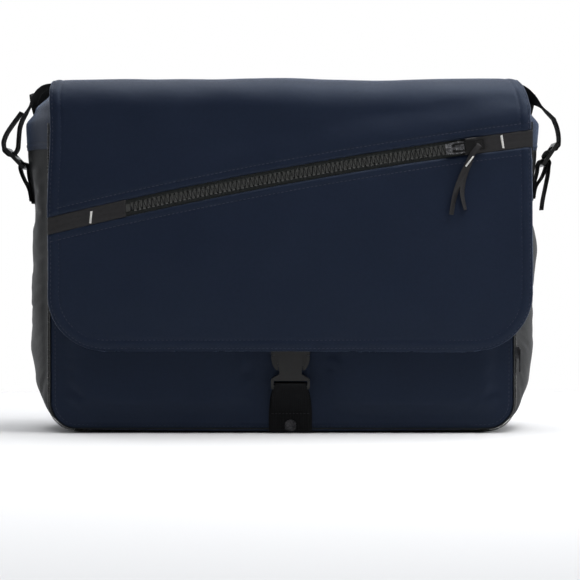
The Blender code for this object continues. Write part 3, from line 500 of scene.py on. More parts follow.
def stitch_row(line, nor, length=0.0027, gap=0.0009, radius=0.00024, sink=0.35):
    """Sewn stitches along a line on a surface: each is a short spindle that dives in at both ends."""
    line, nor = np.asarray(line, float), np.asarray(nor, float)
    at = lengths(line)
    total = at[-1]
    count = max(1, int(total // (length + gap)))
    starts = np.arange(count) * (total / count) + gap / 2
    span = total / count - gap
    shares = np.array([0.0, 0.16, 0.5, 0.84, 1.0])
    girth = np.array([0.35, 0.92, 1.0, 0.92, 0.35])
    lift = np.array([-0.9, 0.35, 0.55, 0.35, -0.9]) - sink
    sides = 6
    place = starts[:, None] + shares[None] * span
    centre = np.stack([np.interp(place, at, line[:, k]) for k in range(3)], -1)
    normal = unit(np.stack([np.interp(place, at, nor[:, k]) for k in range(3)], -1))
    ahead = unit(centre[:, -1] - centre[:, 0])[:, None, :]
    side = unit(np.cross(ahead, normal))
    normal = unit(np.cross(side, ahead))
    turn = np.arange(sides) / sides * 2 * math.pi
    turn, side, up = turn[:, None], side[:, :, None, :], normal[:, :, None, :]
    ring = np.cos(turn) * side + np.sin(turn) * up * 0.75
    verts = centre[:, :, None, :] + (lift * radius)[:, None, None] * up + ring * (girth * radius)[:, None, None]
    index = np.arange(count * 5 * sides).reshape(count, 5, sides)
    a, b = index[:, :-1], index[:, 1:]
    quads = beside(a, np.roll(a, -1, 2), np.roll(b, -1, 2), b).reshape(-1, 4)
    return verts.reshape(-1, 3), quads


def add_row(bundle, line, nor, **how):
    """A row of stitches; nor is one direction for the whole row, or one for each of its points."""
    bundle.add(*stitch_row(line, np.broadcast_to(nor, np.shape(line)), **how))


def bar_tack(bundle, centre, along, across, out, tall, wide, passes, radius=0.00026):
    """A bar tack: thread laid back and forth, close together."""
    centre, along, across, out = (np.asarray(v, float) for v in (centre, along, across, out))
    for i in range(passes):
        t = (i + 0.5) / passes - 0.5
        side = 1 if i % 2 else -1
        a = centre + along * tall * t - across * wide / 2 * side
        b = centre + along * (tall * t + tall / passes * 0.8) + across * wide / 2 * side
        mid = (a + b) / 2 + out * radius * 0.8
        add_row(bundle, [a, mid, b], out, length=10, gap=0.0, radius=radius, sink=-0.4)


def soften(node, width, mat, segments=3):
    """A moulded or cast CAD node keeps its shape, and gets rounded edges and its finish."""
    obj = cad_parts[node]
    bevel = obj.modifiers.new("edges", "BEVEL")
    bevel.width, bevel.segments, bevel.limit_method = width, segments, "ANGLE"
    bevel.angle_limit = math.radians(30)
    bevel.use_clamp_overlap, bevel.harden_normals = True, False
    for held in obj.material_slots:
        held.link, held.material = "OBJECT", mat


def settle(grid, hold, sign_axis, sign, bigger=0.02, pressure=1.2, cap=0.0035, frames=18):
    """Cloth simulation of a sewn sheet that is cut a little larger than its frame: it bellies and wrinkles.

    hold is 1 where a point is sewn down and 0 where it is free; cap is how far a free point may move out.
    """
    n, m = grid.shape[:2]
    _, quads = grid_faces(n, m)
    nor = normals(grid)
    if np.mean(nor[..., sign_axis]) * sign < 0:
        quads, nor = quads[:, ::-1], -nor
    # The solver works at ten times the size, where its distances are comfortable.
    mesh = bpy.data.meshes.new("settle")
    mesh.from_pydata((grid.reshape(-1, 3) * 10).tolist(), [], quads.tolist())
    obj = bpy.data.objects.new("settle", mesh)
    scene.collection.objects.link(obj)
    group = obj.vertex_groups.new(name="sewn")
    flat = hold.ravel()
    for level in np.unique(np.round(flat, 1)):
        if level > 0:
            group.add(np.flatnonzero(np.round(flat, 1) == level).tolist(), float(level), "REPLACE")
    cloth = obj.modifiers.new("cloth", "CLOTH")
    cloth.settings.quality = 6
    cloth.settings.mass = 0.3
    cloth.settings.tension_stiffness = cloth.settings.compression_stiffness = 15
    cloth.settings.bending_stiffness = 0.6
    cloth.settings.vertex_group_mass = "sewn"
    cloth.settings.shrink_min = -bigger
    cloth.settings.use_pressure = True
    cloth.settings.uniform_pressure_force = pressure
    cloth.settings.effector_weights.gravity = 0.15
    cloth.point_cache.frame_start, cloth.point_cache.frame_end = 1, frames
    for at in range(1, frames + 1):
        scene.frame_set(at)
    moved = obj.evaluated_get(bpy.context.evaluated_depsgraph_get())
    got = np.empty(n * m * 3)
    moved.data.vertices.foreach_get("co", got)
    bpy.data.objects.remove(obj)
    bpy.data.meshes.remove(mesh)
    scene.frame_set(1)
    step = (got.reshape(n, m, 3) / 10 - grid) * (1 - hold)[..., None]
    out = (step * nor).sum(-1)
    slide = step - out[..., None] * nor
    limit = cap if np.ndim(cap) else np.full((n, m), cap)
    out = np.where(out > 0, limit * np.tanh(out / np.maximum(limit, 1e-6)), -0.0002 * np.tanh(-out / 0.0002))
    return grid + out[..., None] * nor + slide * 0.25


def declare(obj, grid, held, *on):
    """Hands the piece back unchanged; nothing is worked out from the grid, how it is held or what it is sewn to."""
    return obj


def place(obj, body, *nodes, slot=None):
    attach(obj, body)
    if nodes:
        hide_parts(*nodes)
    return obj


# ---------------------------------------------------------------- camera, light and floor
def studio():
    camera = bpy.data.objects.new("camera", bpy.data.cameras.new("camera"))
    scene.collection.objects.link(camera)
    reach = 2.40
    aim = Vector((0.00672, FRONT, 0.1214))
    tilt = math.radians(1.2)
    camera.location = aim + Vector((0, -reach * math.cos(tilt), reach * math.sin(tilt)))
    camera.rotation_euler = (math.radians(90) - tilt, 0, 0)
    camera.data.sensor_width = 36
    camera.data.lens = 36 * reach / (0.00084 * 580)
    camera.data.clip_start, camera.data.clip_end = 0.05, 60
    scene.camera = camera
    scene.view_settings.view_transform = "Standard"
    scene.view_settings.look = "None"

    world = bpy.data.worlds.new("studio")
    scene.world = world
    world.use_nodes = True
    tree = world.node_tree
    sky = tree.nodes["Background"]
    # The studio is a white wall behind the bag and a dim room in front of it.
    where, split = tree.nodes.new("ShaderNodeTexCoord"), tree.nodes.new("ShaderNodeSeparateXYZ")
    wall = tree.nodes.new("ShaderNodeMapRange")
    for key, value in (("From Min", -0.25), ("From Max", 0.35), ("To Min", 0.08), ("To Max", 1.25)):
        wall.inputs[key].default_value = value
    tree.links.new(where.outputs["Generated"], split.inputs[0])
    tree.links.new(split.outputs[1], wall.inputs["Value"])
    tree.links.new(wall.outputs["Result"], sky.inputs["Strength"])
    sky.inputs["Color"].default_value = (0.95, 0.97, 1.0, 1)
    shown = tree.nodes.new("ShaderNodeBackground")
    shown.inputs["Color"].default_value = (1, 1, 1, 1)
    shown.inputs["Strength"].default_value = 1.0
    path, both = tree.nodes.new("ShaderNodeLightPath"), tree.nodes.new("ShaderNodeMixShader")
    tree.links.new(path.outputs["Is Camera Ray"], both.inputs[0])
    tree.links.new(sky.outputs[0], both.inputs[1])
    tree.links.new(shown.outputs[0], both.inputs[2])
    tree.links.new(both.outputs[0], tree.nodes["World Output"].inputs[0])

    def lamp(name, at, look, size, power, size_y=None, colour=(1, 1, 1)):
        data = bpy.data.lights.new(name, "AREA")
        data.energy, data.size, data.color = power, size, colour
        if size_y:
            data.shape, data.size_y = "RECTANGLE", size_y
        obj = bpy.data.objects.new(name, data)
        scene.collection.objects.link(obj)
        obj.location = at
        obj.rotation_euler = (Vector(look) - Vector(at)).to_track_quat("-Z", "Y").to_euler()

    lamp("overhead", (0.0, 0.12, 2.10), (0, 0, 0.1), 1.9, 32, 1.7)
    lamp("key_right", (0.36, -0.34, 0.92), (0.12, -0.04, 0.28), 0.50, 5.6)
    lamp("fill_left", (-1.35, -1.40, 0.95), (0, 0, 0.15), 0.9, 0.6)
    lamp("strip_right", (1.30, 0.10, 0.50), (0.2, 0, 0.13), 0.35, 8.0, 0.9)

    f = Finish("floor_white")
    f.set(Specular_IOR_Level=0.1)
    tone = f.noise(0.8, 2.0)
    white = f.mix(tone, (0.70, 0.70, 0.705), (0.72, 0.72, 0.725))
    f.finish(white, f.remap(tone, 0, 1, 0.85, 0.95), f.bump(tone, 0.01, 0.001))
    cells = 8
    across, deep = np.linspace(-1.7, 1.7, cells + 1), np.linspace(-1.9, 0.55, cells + 1)
    grid = np.stack(np.meshgrid(across, deep, [0.0], indexing="ij"), -1)[:, :, 0]
    _, quads = grid_faces(cells + 1, cells + 1)
    floor = mesh_piece("floor", grid.reshape(-1, 3), quads.tolist(), f.made)


# ---------------------------------------------------------------- the flap's surface
def flap_edges(s):
    """The flap's left and right edges, along the cloth: back to the ridge, over the roll and down the front."""
    s = np.asarray(s, float)
    u = np.clip((s + ROLL) / ROLL, 0, 1)
    arc = np.sin(u * math.pi / 2)
    left, right = -0.1948 + (LEFT + 0.1948) * arc, 0.1985 + (RIGHT_TOP - 0.1985) * arc
    back = np.clip((-ROLL - s) / TOP_DEPTH, 0, 1)
    left, right = left + 0.0085 * back, right - 0.0113 * back
    down = ease(0.0, 0.075, s)
    right = right + (RIGHT_LOW - RIGHT_TOP - 0.0012) * down - 0.0006 * ease(0.09, 0.19, s)
    left = left + 0.0018 * np.exp(-(((s - 0.012) / 0.045) ** 2)) + 0.0004 * np.sin(s * 61.0)
    right = right + 0.0004 * np.sin(s * 47.0 + 1.0)
    return left, right


def flap_point(x, s, off):
    """A point on the flap: x across, s along the cloth from the roll's foot, off out of its face."""
    x, s, off = np.broadcast_arrays(np.asarray(x, float), np.asarray(s, float), np.asarray(off, float))
    a = math.pi / 2 + np.clip(s + ROLL, 0, ROLL) / R
    y = np.where(s >= 0, FRONT - off, np.where(s > -ROLL, FOLD_Y + (R + off) * np.cos(a), FOLD_Y - ROLL - s))
    z = np.where(s >= 0, FOLD_Z - s, np.where(s > -ROLL, FOLD_Z + (R + off) * np.sin(a), TOP + off))
    return beside(x, y, z)


def flap_out(s):
    """The outward direction of the flap's face."""
    s = np.asarray(s, float)
    a = math.pi / 2 + np.clip(s + ROLL, 0, ROLL) / R
    return beside(np.zeros_like(s), np.cos(a), np.sin(a))


def flap_swell(x, s):
    """How far the soft flap stands out of its drawn shape."""
    x, s = np.broadcast_arrays(np.asarray(x, float), np.asarray(s, float))
    left, right = flap_edges(s)
    from_side = np.minimum(x - left, right - x)
    from_zip = np.abs(FOLD_Z - s - zip_z(x))
    from_low = DROP - s
    calm = ease(0.010, 0.055, from_zip)
    room = ease(0.0, 0.050, from_side) * ease(0.0, 0.045, from_low)
    front = ease(-0.010, 0.030, s)
    wide = 0.0016 * room * calm * front * ease(0.02, 0.10, s)
    slack = 0.00055 * ripple(x, s, 0.115, 3) * (0.35 + 0.65 * calm)
    crumple = 0.00022 * ripple(x, s, 0.034, 11) * (0.4 + 0.6 * calm)
    pucker = 0.00038 * ripple(x, s, 0.011, 5) * (np.exp(-from_side / 0.010) + np.exp(-np.maximum(from_low, 0) / 0.010))
    top = (1 - front) * (0.0017 + 0.0007 * ripple(x, s, 0.150, 21) - 0.0010 * np.exp(-from_side / 0.012))
    over_buckle = 0.0006 * np.exp(-(((x - BUCKLE_X) / 0.022) ** 2)) * np.exp(-(((s - 0.190) / 0.020) ** 2))
    # The front leans back towards the roll.
    lean = -0.0052 * np.clip(1 - s / 0.085, 0, 1) ** 2 * ease(0.012, 0.040, from_zip) * ease(-ROLL, 0.0, s)
    return wide + slack + crumple + pucker + top + over_buckle + lean - 0.0003


def hem(d, rows=(0.0022, 0.0092)):
    """The face's dip towards a turned edge and into its seams, at a distance from the edge."""
    out = -0.0009 * (1 - np.sqrt(np.clip(1 - (1 - np.clip(d / 0.0020, 0, 1)) ** 2, 0, 1)))
    for row in rows:
        out = out - 0.00045 * np.exp(-(((d - row) / 0.00075) ** 2))
    if len(rows) > 1:
        mid = (rows[0] + rows[1]) / 2
        out = out + 0.00034 * np.exp(-(((d - mid) / 0.0024) ** 2))
    return out


def flap_distance(x, s):
    """The distance to the flap's outer edge."""
    left, right = flap_edges(s)
    low = DROP - s
    d = np.minimum(np.minimum(x - left, right - x), low)
    c = FLAP_CORNER
    for cx, sign in ((left + c, -1), (right - c, 1)):
        inside = (sign * (x - cx) > 0) & (low < c)
        d = np.where(inside, c - np.hypot(x - cx, c - low), d)
    return d


def flap_grid(s_top, s_low, inset=0.0, fine=0.0011, coarse=0.0030):
    """A grid over the flap between two lines along it, each a number or a function of x."""
    top_of = s_top if callable(s_top) else (lambda x: np.full(np.shape(x), s_top))
    low_of = s_low if callable(s_low) else (lambda x: np.full(np.shape(x), s_low))
    high, low = float(top_of(np.array(BUCKLE_X))), float(low_of(np.array(BUCKLE_X)))
    rows = (spaced(high, low, EDGE_BAND, fine, coarse) - high) / (low - high)
    cols = spaced(0.0, FLAP_WIDTH, EDGE_BAND, fine, coarse) / FLAP_WIDTH
    v, u = net(rows, cols)
    # A few passes settle the edge, which depends on how far down the row is there.
    x = -0.19 + 0.40 * u
    for _ in range(4):
        s = top_of(x) + (low_of(x) - top_of(x)) * v
        left, right = flap_edges(s)
        left, right = left + inset, right - inset
        deep = np.clip((s - (DROP - FLAP_CORNER)) / (FLAP_CORNER - inset), 0, 1)
        tuck = (FLAP_CORNER - inset) * (1 - np.sqrt(np.clip(1 - deep**2, 0, 1)))
        x = left + tuck + (right - left - 2 * tuck) * u
    return x, s


def flap_sheet(name, x, s, off, thick, mat, rows=(0.0022, 0.0092), zip_edge=None):
    d = flap_distance(x, s)
    lift = flap_swell(x, s) + off
    if rows:
        lift = lift + hem(d, rows)
    if zip_edge is not None:
        lift = lift + hem(np.maximum(zip_edge(x, s), 0), (0.0060,))
    grid = flap_point(x, s, lift)
    weave = beside(x, s)
    return declare(sheet_piece(name, grid, thick, weave, mat), grid, "hung", "flap_hinge_cloth")


def on_flap(x, s, off=0.0):
    """Points and outward directions on the flap's sewn face."""
    x, s = np.asarray(x, float), np.asarray(s, float)
    return flap_point(x, s, flap_swell(x, s) + hem(flap_distance(x, s)) + off), flap_out(s)


def build_flap():
    upper_low = lambda x: FOLD_Z - zip_z(x, SLOT)
    lower_top = lambda x: FOLD_Z - zip_z(x, -SLOT)
    bottom = FOLD_Z - BOTTOM
    x, s = flap_grid(S_BACK, upper_low)
    upper = flap_sheet("flap_cloth_upper", x, s, 0.0, 0.0019, NAVY,
                       zip_edge=lambda x, s: (zip_z(x, SLOT) * -1 + FOLD_Z - s))
    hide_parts("flap_top_panel", "flap_roll", "flap_upper_panel")
    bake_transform(upper)

    x, s = flap_grid(lower_top, bottom)
    lower = flap_sheet("flap_cloth_lower", x, s, 0.0, 0.0019, NAVY,
                       zip_edge=lambda x, s: s - (FOLD_Z - zip_z(x, -SLOT)))
    place(lower, "flap_front", "flap_lower_panel", slot="navy_canvas")

    x, s = flap_grid(S_BACK + 0.001, bottom - 0.0015, inset=0.0015, fine=0.0025, coarse=0.0042)
    grid = flap_point(x, s, flap_swell(x, s) - 0.0056)
    weave = beside(x, s)
    back, woven_at = flip(grid, weave)
    lining = sheet_piece("flap_lining_cloth", back, 0.0006, woven_at, LINING)
    declare(lining, back, "hung", "flap_cloth_upper")
    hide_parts("flap_lining", "flap_top_lining")
    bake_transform(lining)

    # The pocket behind the zip, between the skin and the lining.
    u, v = np.meshgrid(np.linspace(-0.145, 0.165, 70), np.linspace(0, 1, 34), indexing="xy")
    z = 0.096 + (zip_z(u, 0.0165) - 0.096) * v
    grid = flap_point(u, FOLD_Z - z, flap_swell(u, FOLD_Z - z) - 0.0041)
    pocket = sheet_piece("flap_pocket_cloth", grid, 0.0005, beside(u, z), LINING)
    declare(pocket, grid, "hung", "flap_cloth_upper")
    place(pocket, "flap_front", "flap_pocket_bag", slot="grey_lining")

    # A strip of the same cloth carries the flap on the back panel.
    profile = smooth_line([(0.0653, 0.2700), (0.0657, 0.2800), (0.0660, 0.2890), (0.0655, 0.2945), (0.0630, 0.2983),
                           (0.0590, 0.2996), (0.0530, 0.2996)], 6)
    cols = np.linspace(-0.1845, 0.1855, 120)
    v, u = net(np.arange(len(profile)), cols)
    wave = 0.0003 * ripple(u, v * 0.004, 0.05, 8)
    grid = beside(u, profile[v.astype(int), 0] + wave, profile[v.astype(int), 1])
    weave = beside(u, np.broadcast_to(lengths(profile)[:, None], u.shape))
    strip = sheet_piece("flap_hinge_cloth", grid, 0.0010, weave[::-1], NAVY)
    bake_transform(strip)


def flap_edge_line(inset, s_start):
    """Places round the flap at a distance in from its edge: down the right, along the bottom, up the left."""
    low = DROP - inset
    radius = FLAP_CORNER - inset
    down = np.arange(s_start, low - radius, 0.002)
    _, right = flap_edges(down)
    pts = [(r - inset, s) for r, s in zip(right, down)]
    l_end, r_end = (float(edge) for edge in flap_edges(low - radius))
    turns = [math.pi / 2 * k / 30 for k in range(31)]
    pts += [(r_end - inset - radius + radius * math.cos(a), low - radius + radius * math.sin(a)) for a in turns]
    pts += [(l_end + inset + radius - radius * math.sin(a), low - radius + radius * math.cos(a)) for a in turns]
    up = np.arange(low - radius, s_start, -0.002)
    left, _ = flap_edges(up)
    pts += [(l + inset, s) for l, s in zip(left, up)]
    return np.array(pts)


def resample(pts, step=0.001):
    at = lengths(pts)
    new = np.arange(0, at[-1], step)
    return np.stack([np.interp(new, at, pts[:, k]) for k in range(pts.shape[1])], -1)


def runs(keep):
    """The places of each unbroken run of a row that is kept."""
    parts = np.split(np.arange(len(keep)), np.flatnonzero(np.diff(keep.astype(int))) + 1)
    return [part for part in parts if len(part) > 3 and keep[part[1]]]


def build_flap_stitches():
    front, top = Bundle(), Bundle()
    for inset in (0.0022, 0.0092):
        pts = resample(flap_edge_line(inset, 0.001))
        # The rows stop at the zip's opening.
        for part in runs(np.abs(FOLD_Z - pts[:, 1] - zip_z(pts[:, 0])) >= SLOT + 0.0005):
            add_row(front, *on_flap(pts[part, 0], pts[part, 1]))
        s = np.arange(S_BACK + 0.003, -0.001, 0.0015)
        left, right = flap_edges(s)
        for x in (left + inset, right - inset):
            add_row(top, *on_flap(x, s))
    for off in (SLOT + 0.0060, -SLOT - 0.0060):
        x = np.arange(LEFT + 0.002, RIGHT_LOW - 0.002, 0.0015)
        s = FOLD_Z - zip_z(x, off)
        add_row(front, flap_point(x, s, flap_swell(x, s) - ROW_DEPTH), flap_out(s))
    # Two rows hold the flap to the strip that carries it.
    x = np.arange(-0.183, 0.184, 0.0015)
    for from_back, lift in ((0.0070, 0.0010), (0.0105, 0.0009)):
        add_row(top, *on_flap(x, np.full_like(x, S_BACK + from_back), lift))
    place(front.piece("flap_front_stitching", NAVY_THREAD), "flap_front")
    seam = top.piece("flap_top_stitching", NAVY_THREAD)
    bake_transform(seam)


# ---------------------------------------------------------------- the flap's zip
def build_flap_zip():
    for side, hand in ((1, "upper"), (-1, "lower")):
        x = np.linspace(-0.1965, 0.2105, 260)
        off = np.array([0.0030, 0.0036, 0.0042, 0.0050, 0.0060, 0.0075, 0.0100, 0.0135])
        u, v = np.meshgrid(x, off, indexing="xy")
        z = zip_z(u, side * v)
        # The cord bead that holds the teeth stands up along the tape's inner edge.
        bead = 0.0007 * np.exp(-(((v - 0.0036) / 0.0008) ** 2))
        y = FRONT + 0.0023 - bead + flap_swell(u, FOLD_Z - z) * -1.0 * ease(0.006, 0.010, v)
        grid = beside(u, y, z)
        weave = beside(v * side, u)
        if side < 0:
            grid, weave = flip(grid, weave)
        tape = sheet_piece(f"zip_tape_{hand}", grid, 0.0006, weave, TAPE)
        place(tape, "flap_front", f"flap_zip_tape_{hand}", slot="black_webbing")

    # Moulded teeth: each a wedge that sits between two opposite wedges, so that the gap runs in a zigzag.
    pitch = 0.00375
    count = int((ZIP_RIGHT - ZIP_LEFT) / pitch)
    shape = [(0.0041, 0.00100), (0.0034, 0.00128), (0.0024, 0.00124), (0.0012, 0.00098), (0.0000, 0.00070),
             (-0.0012, 0.00043), (-0.0020, 0.00028), (-0.0025, 0.00012)]
    outline = np.array(shape + [(o, -h) for o, h in shape[::-1]])
    middle = outline.mean(0)
    front, back = FRONT + 0.00045, FRONT + 0.0027
    layers = [(front, 0.72), (front + 0.00010, 0.90), (front + 0.0006, 1.0), (back - 0.0004, 1.0), (back, 0.85)]
    for side, hand in ((1, "upper"), (-1, "lower")):
        teeth = Bundle()
        for i in range(count):
            x0 = ZIP_LEFT + (i + (0.5 if side > 0 else 1.0)) * pitch - 0.0004
            slope = (ZIP_CX - x0) / ZIP_R
            ax = np.array([math.sqrt(1 - slope**2), 0, slope])
            up = np.array([-slope, 0, math.sqrt(1 - slope**2)]) * side
            base = np.array([x0, 0, float(zip_z(x0))])
            rings = []
            for y, k in layers:
                local = middle + (outline - middle) * k
                rings.append(base + local[:, :1] * up + local[:, 1:] * ax + np.array([0, y, 0]))
            n = len(outline)
            index, faces = tube_faces(len(layers), n)
            caps = [[ring[j], ring[j + 1], ring[n - 2 - j], ring[n - 1 - j]]
                    for ring in (index[0], index[-1]) for j in range(n // 2 - 1)]
            teeth.add(np.concatenate(rings), np.concatenate([faces, caps]))
        obj = teeth.piece(f"zip_teeth_{hand}", TEETH, 40)
        tidy_normals(obj)
        place(obj, "flap_front", f"flap_zip_teeth_{hand}", slot="black_plastic")

    # Ribbon over the zip's two ends, turned under at the teeth, with a white bar tack on each.
    white = Bundle()
    for hand, a, b in (("left", -0.1968, -0.1313), ("right", 0.1536, 0.2104)):
        x = np.linspace(a, b, 60)
        v = np.linspace(-0.0067, 0.0067, 15)
        u, w = np.meshgrid(x, v, indexing="xy")
        z = zip_z(u, w)
        fold = (u - a) if hand == "right" else (b - u)
        y = FRONT + 0.0009 - 0.0003 * np.exp(-((fold - 0.0020) / 0.0012) ** 2)
        y = y + 0.0004 * ease(0.0055, 0.0067, np.abs(w))
        y = y + 0.00008 * np.sin(w * 2 * math.pi / 0.0012) + 0.00012 * ripple(u, w, 0.015, 31)
        if hand == "right":
            # Its turned end lies on the zip's stop.
            y = y - 0.0012 * (1 - ease(0.1585, 0.1640, u))
        grid = beside(u, y, z)
        weave = beside(u, w)
        tab = sheet_piece(f"zip_end_ribbon_{hand}", grid, 0.0005, weave, GROSGRAIN)
        place(tab, "flap_front", f"zip_end_tab_{hand}", slot="black_webbing")
    out = (0, -1, 0)
    for x0, z_low, z_high, lean in ((-0.1606, 0.1772, 0.1872, 0.10), (0.1850, 0.2402, 0.2510, -0.16)):
        along = unit(np.array([lean, 0, 1.0]))
        centre = (x0, FRONT + 0.0006, (z_low + z_high) / 2)
        bar_tack(white, centre, along, unit(np.array([1.0, 0, -lean])), out, z_high - z_low, 0.0022, 16, 0.00042)
    place(white.piece("zip_end_bar_tacks", WHITE_THREAD), "flap_front")

    dark = Bundle()
    for x0 in (-0.1955, -0.1340, 0.1665, 0.2090):
        w = np.linspace(-0.0058, 0.0058, 20)
        line = beside(x0, FRONT + 0.0007, zip_z(x0, w))
        add_row(dark, line, (0, -1, 0), length=0.0022, gap=0.0006)
    place(dark.piece("zip_end_stitching", BLACK_THREAD), "flap_front")

    soften("zip_slider", 0.00045, SLIDER_METAL, 4)
    soften("zip_pull_tab", 0.00022, RUBBER)
    soften("zip_stop_left", 0.0003, TEETH)
    soften("zip_stop_right", 0.0003, TEETH)
    build_pull_ribbon()


def build_pull_ribbon():
    slope = math.atan2(SLIDER_X - ZIP_CX, float(zip_z(SLIDER_X)) - ZIP_CZ)
    eye_x = SLIDER_X + 0.0199 * math.cos(slope)
    eye_z = float(zip_z(SLIDER_X)) - 0.0199 * math.sin(slope)
    eye = np.array([eye_x, FRONT + 0.0005 - FIT - 0.0016 - 0.0014, eye_z])
    slant = (0.80, 0, -0.60)
    route = [
        ((-0.0232, -0.0016, -0.0585), (0.70, 0.68, -0.20)), ((-0.0203, -0.0016, -0.0430), (0.72, 0.62, -0.28)),
        ((-0.0154, -0.0014, -0.0290), (0.86, 0.30, -0.40)), ((-0.0094, -0.0014, -0.0165), slant),
        ((-0.0046, -0.0018, -0.0065), slant), ((-0.0016, -0.0022, -0.0030), slant),
        ((0.0000, -0.0018, -0.0006), slant), ((0.0003, -0.0006, 0.0002), slant),
        ((0.0003, 0.0006, 0.0002), slant), ((0.0000, 0.0018, -0.0006), slant),
        ((-0.0016, 0.0020, -0.0030), slant), ((-0.0046, 0.0018, -0.0065), slant),
        ((-0.0088, 0.0012, -0.0165), slant), ((-0.0132, 0.0006, -0.0290), (0.90, 0.20, -0.36)),
        ((-0.0138, -0.0002, -0.0420), (0.66, 0.74, 0.06)), ((-0.0112, -0.0004, -0.0545), (0.50, 0.84, 0.20)),
    ]
    tail = [0.0052, 0.0054, 0.0054, 0.0052, 0.0046, 0.0044, 0.0044, 0.0044]
    widths = [*tail, *tail[::-1]]
    ribbon = band_piece("pull_ribbon_cloth", [eye + np.array(p) for p, _ in route], widths, 0.0006,
                        [w for _, w in route], GROSGRAIN, steps=6, cells=8, ribs=5)
    place(ribbon, "pull_ribbon", "zip_pull_ribbon", slot="black_webbing")
    white = Bundle()
    along, across = unit(np.array([0.0090, 0, 0.0118])), unit(np.array([0.0118, 0, -0.0090]))
    centre = eye + np.array([-0.0080, -0.0023, -0.0141])
    bar_tack(white, centre, along, across, (0, -1, 0), 0.0105, 0.0014, 16, 0.00040)
    place(white.piece("pull_ribbon_bar_tack", WHITE_THREAD), "pull_ribbon")


# ---------------------------------------------------------------- the body
def seam_points(offset, top, arc_steps=24, straight=60):
    """The U of the seam with its outward directions, from the top left round the bottom to the top right."""
    half, radius = HALF + offset, CORNER + offset
    cx, cz = HALF - CORNER, LOW + CORNER
    pts, outs = [], []
    for z in np.linspace(top, cz, straight)[:-1]:
        pts.append((-half, z)), outs.append((-1, 0))
    for a in np.linspace(math.pi, 1.5 * math.pi, arc_steps):
        pts.append((-cx + radius * math.cos(a), cz + radius * math.sin(a))), outs.append((math.cos(a), math.sin(a)))
    for x in np.linspace(-cx, cx, 90)[1:-1]:
        pts.append((x, cz - radius)), outs.append((0, -1))
    for a in np.linspace(1.5 * math.pi, 2 * math.pi, arc_steps):
        pts.append((cx + radius * math.cos(a), cz + radius * math.sin(a))), outs.append((math.cos(a), math.sin(a)))
    for z in np.linspace(cz, top, straight)[1:]:
        pts.append((half, z)), outs.append((1, 0))
    return np.array(pts, float), np.array(outs, float)


def panel_grid(top, offset, sag=0.0):
    """Places over a body panel between the seams, with its round lower corners."""
    half, radius = HALF + offset, CORNER + offset
    low = LOW - offset
    rows = spaced(0.0, top - low, EDGE_BAND, 0.0012, 0.0032) / (top - low)
    cols = spaced(0.0, 2 * half, EDGE_BAND, 0.0012, 0.0032) / (2 * half)
    v, u = net(rows, cols)
    z = low + (top - low) * v
    deep = np.clip((low + radius - z) / radius, 0, 1)
    tuck = radius * (1 - np.sqrt(np.clip(1 - deep**2, 0, 1)))
    x = -half + tuck + (2 * half - 2 * tuck) * u
    return x, z - panel_dip(x, half, z, low, sag)


def panel_distance(x, z, top, offset):
    """The distance to a body panel's edge."""
    half, radius, low = HALF + offset, CORNER + offset, LOW - offset
    d = np.minimum(np.minimum(half - np.abs(x), z - low), top - z)
    corner = (np.abs(x) > half - radius) & (z < low + radius)
    return np.where(corner, radius - np.hypot(np.abs(x) - (half - radius), low + radius - z), d)


def panel_dip(x, half, z, low, sag):
    """How far a panel's lower edge hangs below its seam's straight run."""
    return sag * np.clip(1 - (x / (half * 0.96)) ** 2, 0, 1) ** 0.6 * (1 - ease(0.0, 0.05, z - low))


def body_front_swell(x, z):
    """The stuffed front panel: it stands out on both sides of the closing strap, which holds it in."""
    side = ease(0.018, 0.060, np.abs(x - BUCKLE_X)) * ease(0.0, 0.030, HALF - np.abs(x))
    wave = side * ease(0.004, 0.030, z)
    crease = 0.00035 * ripple(x, z, 0.040, 17, stretch=2.4) * ease(0.014, 0.040, np.abs(x - BUCKLE_X))
    return wave * (0.0016 * (1 - 0.6 * ease(0.10, 0.20, z)) + 0.0005 * ripple(x, z, 0.130, 9)) + crease * wave


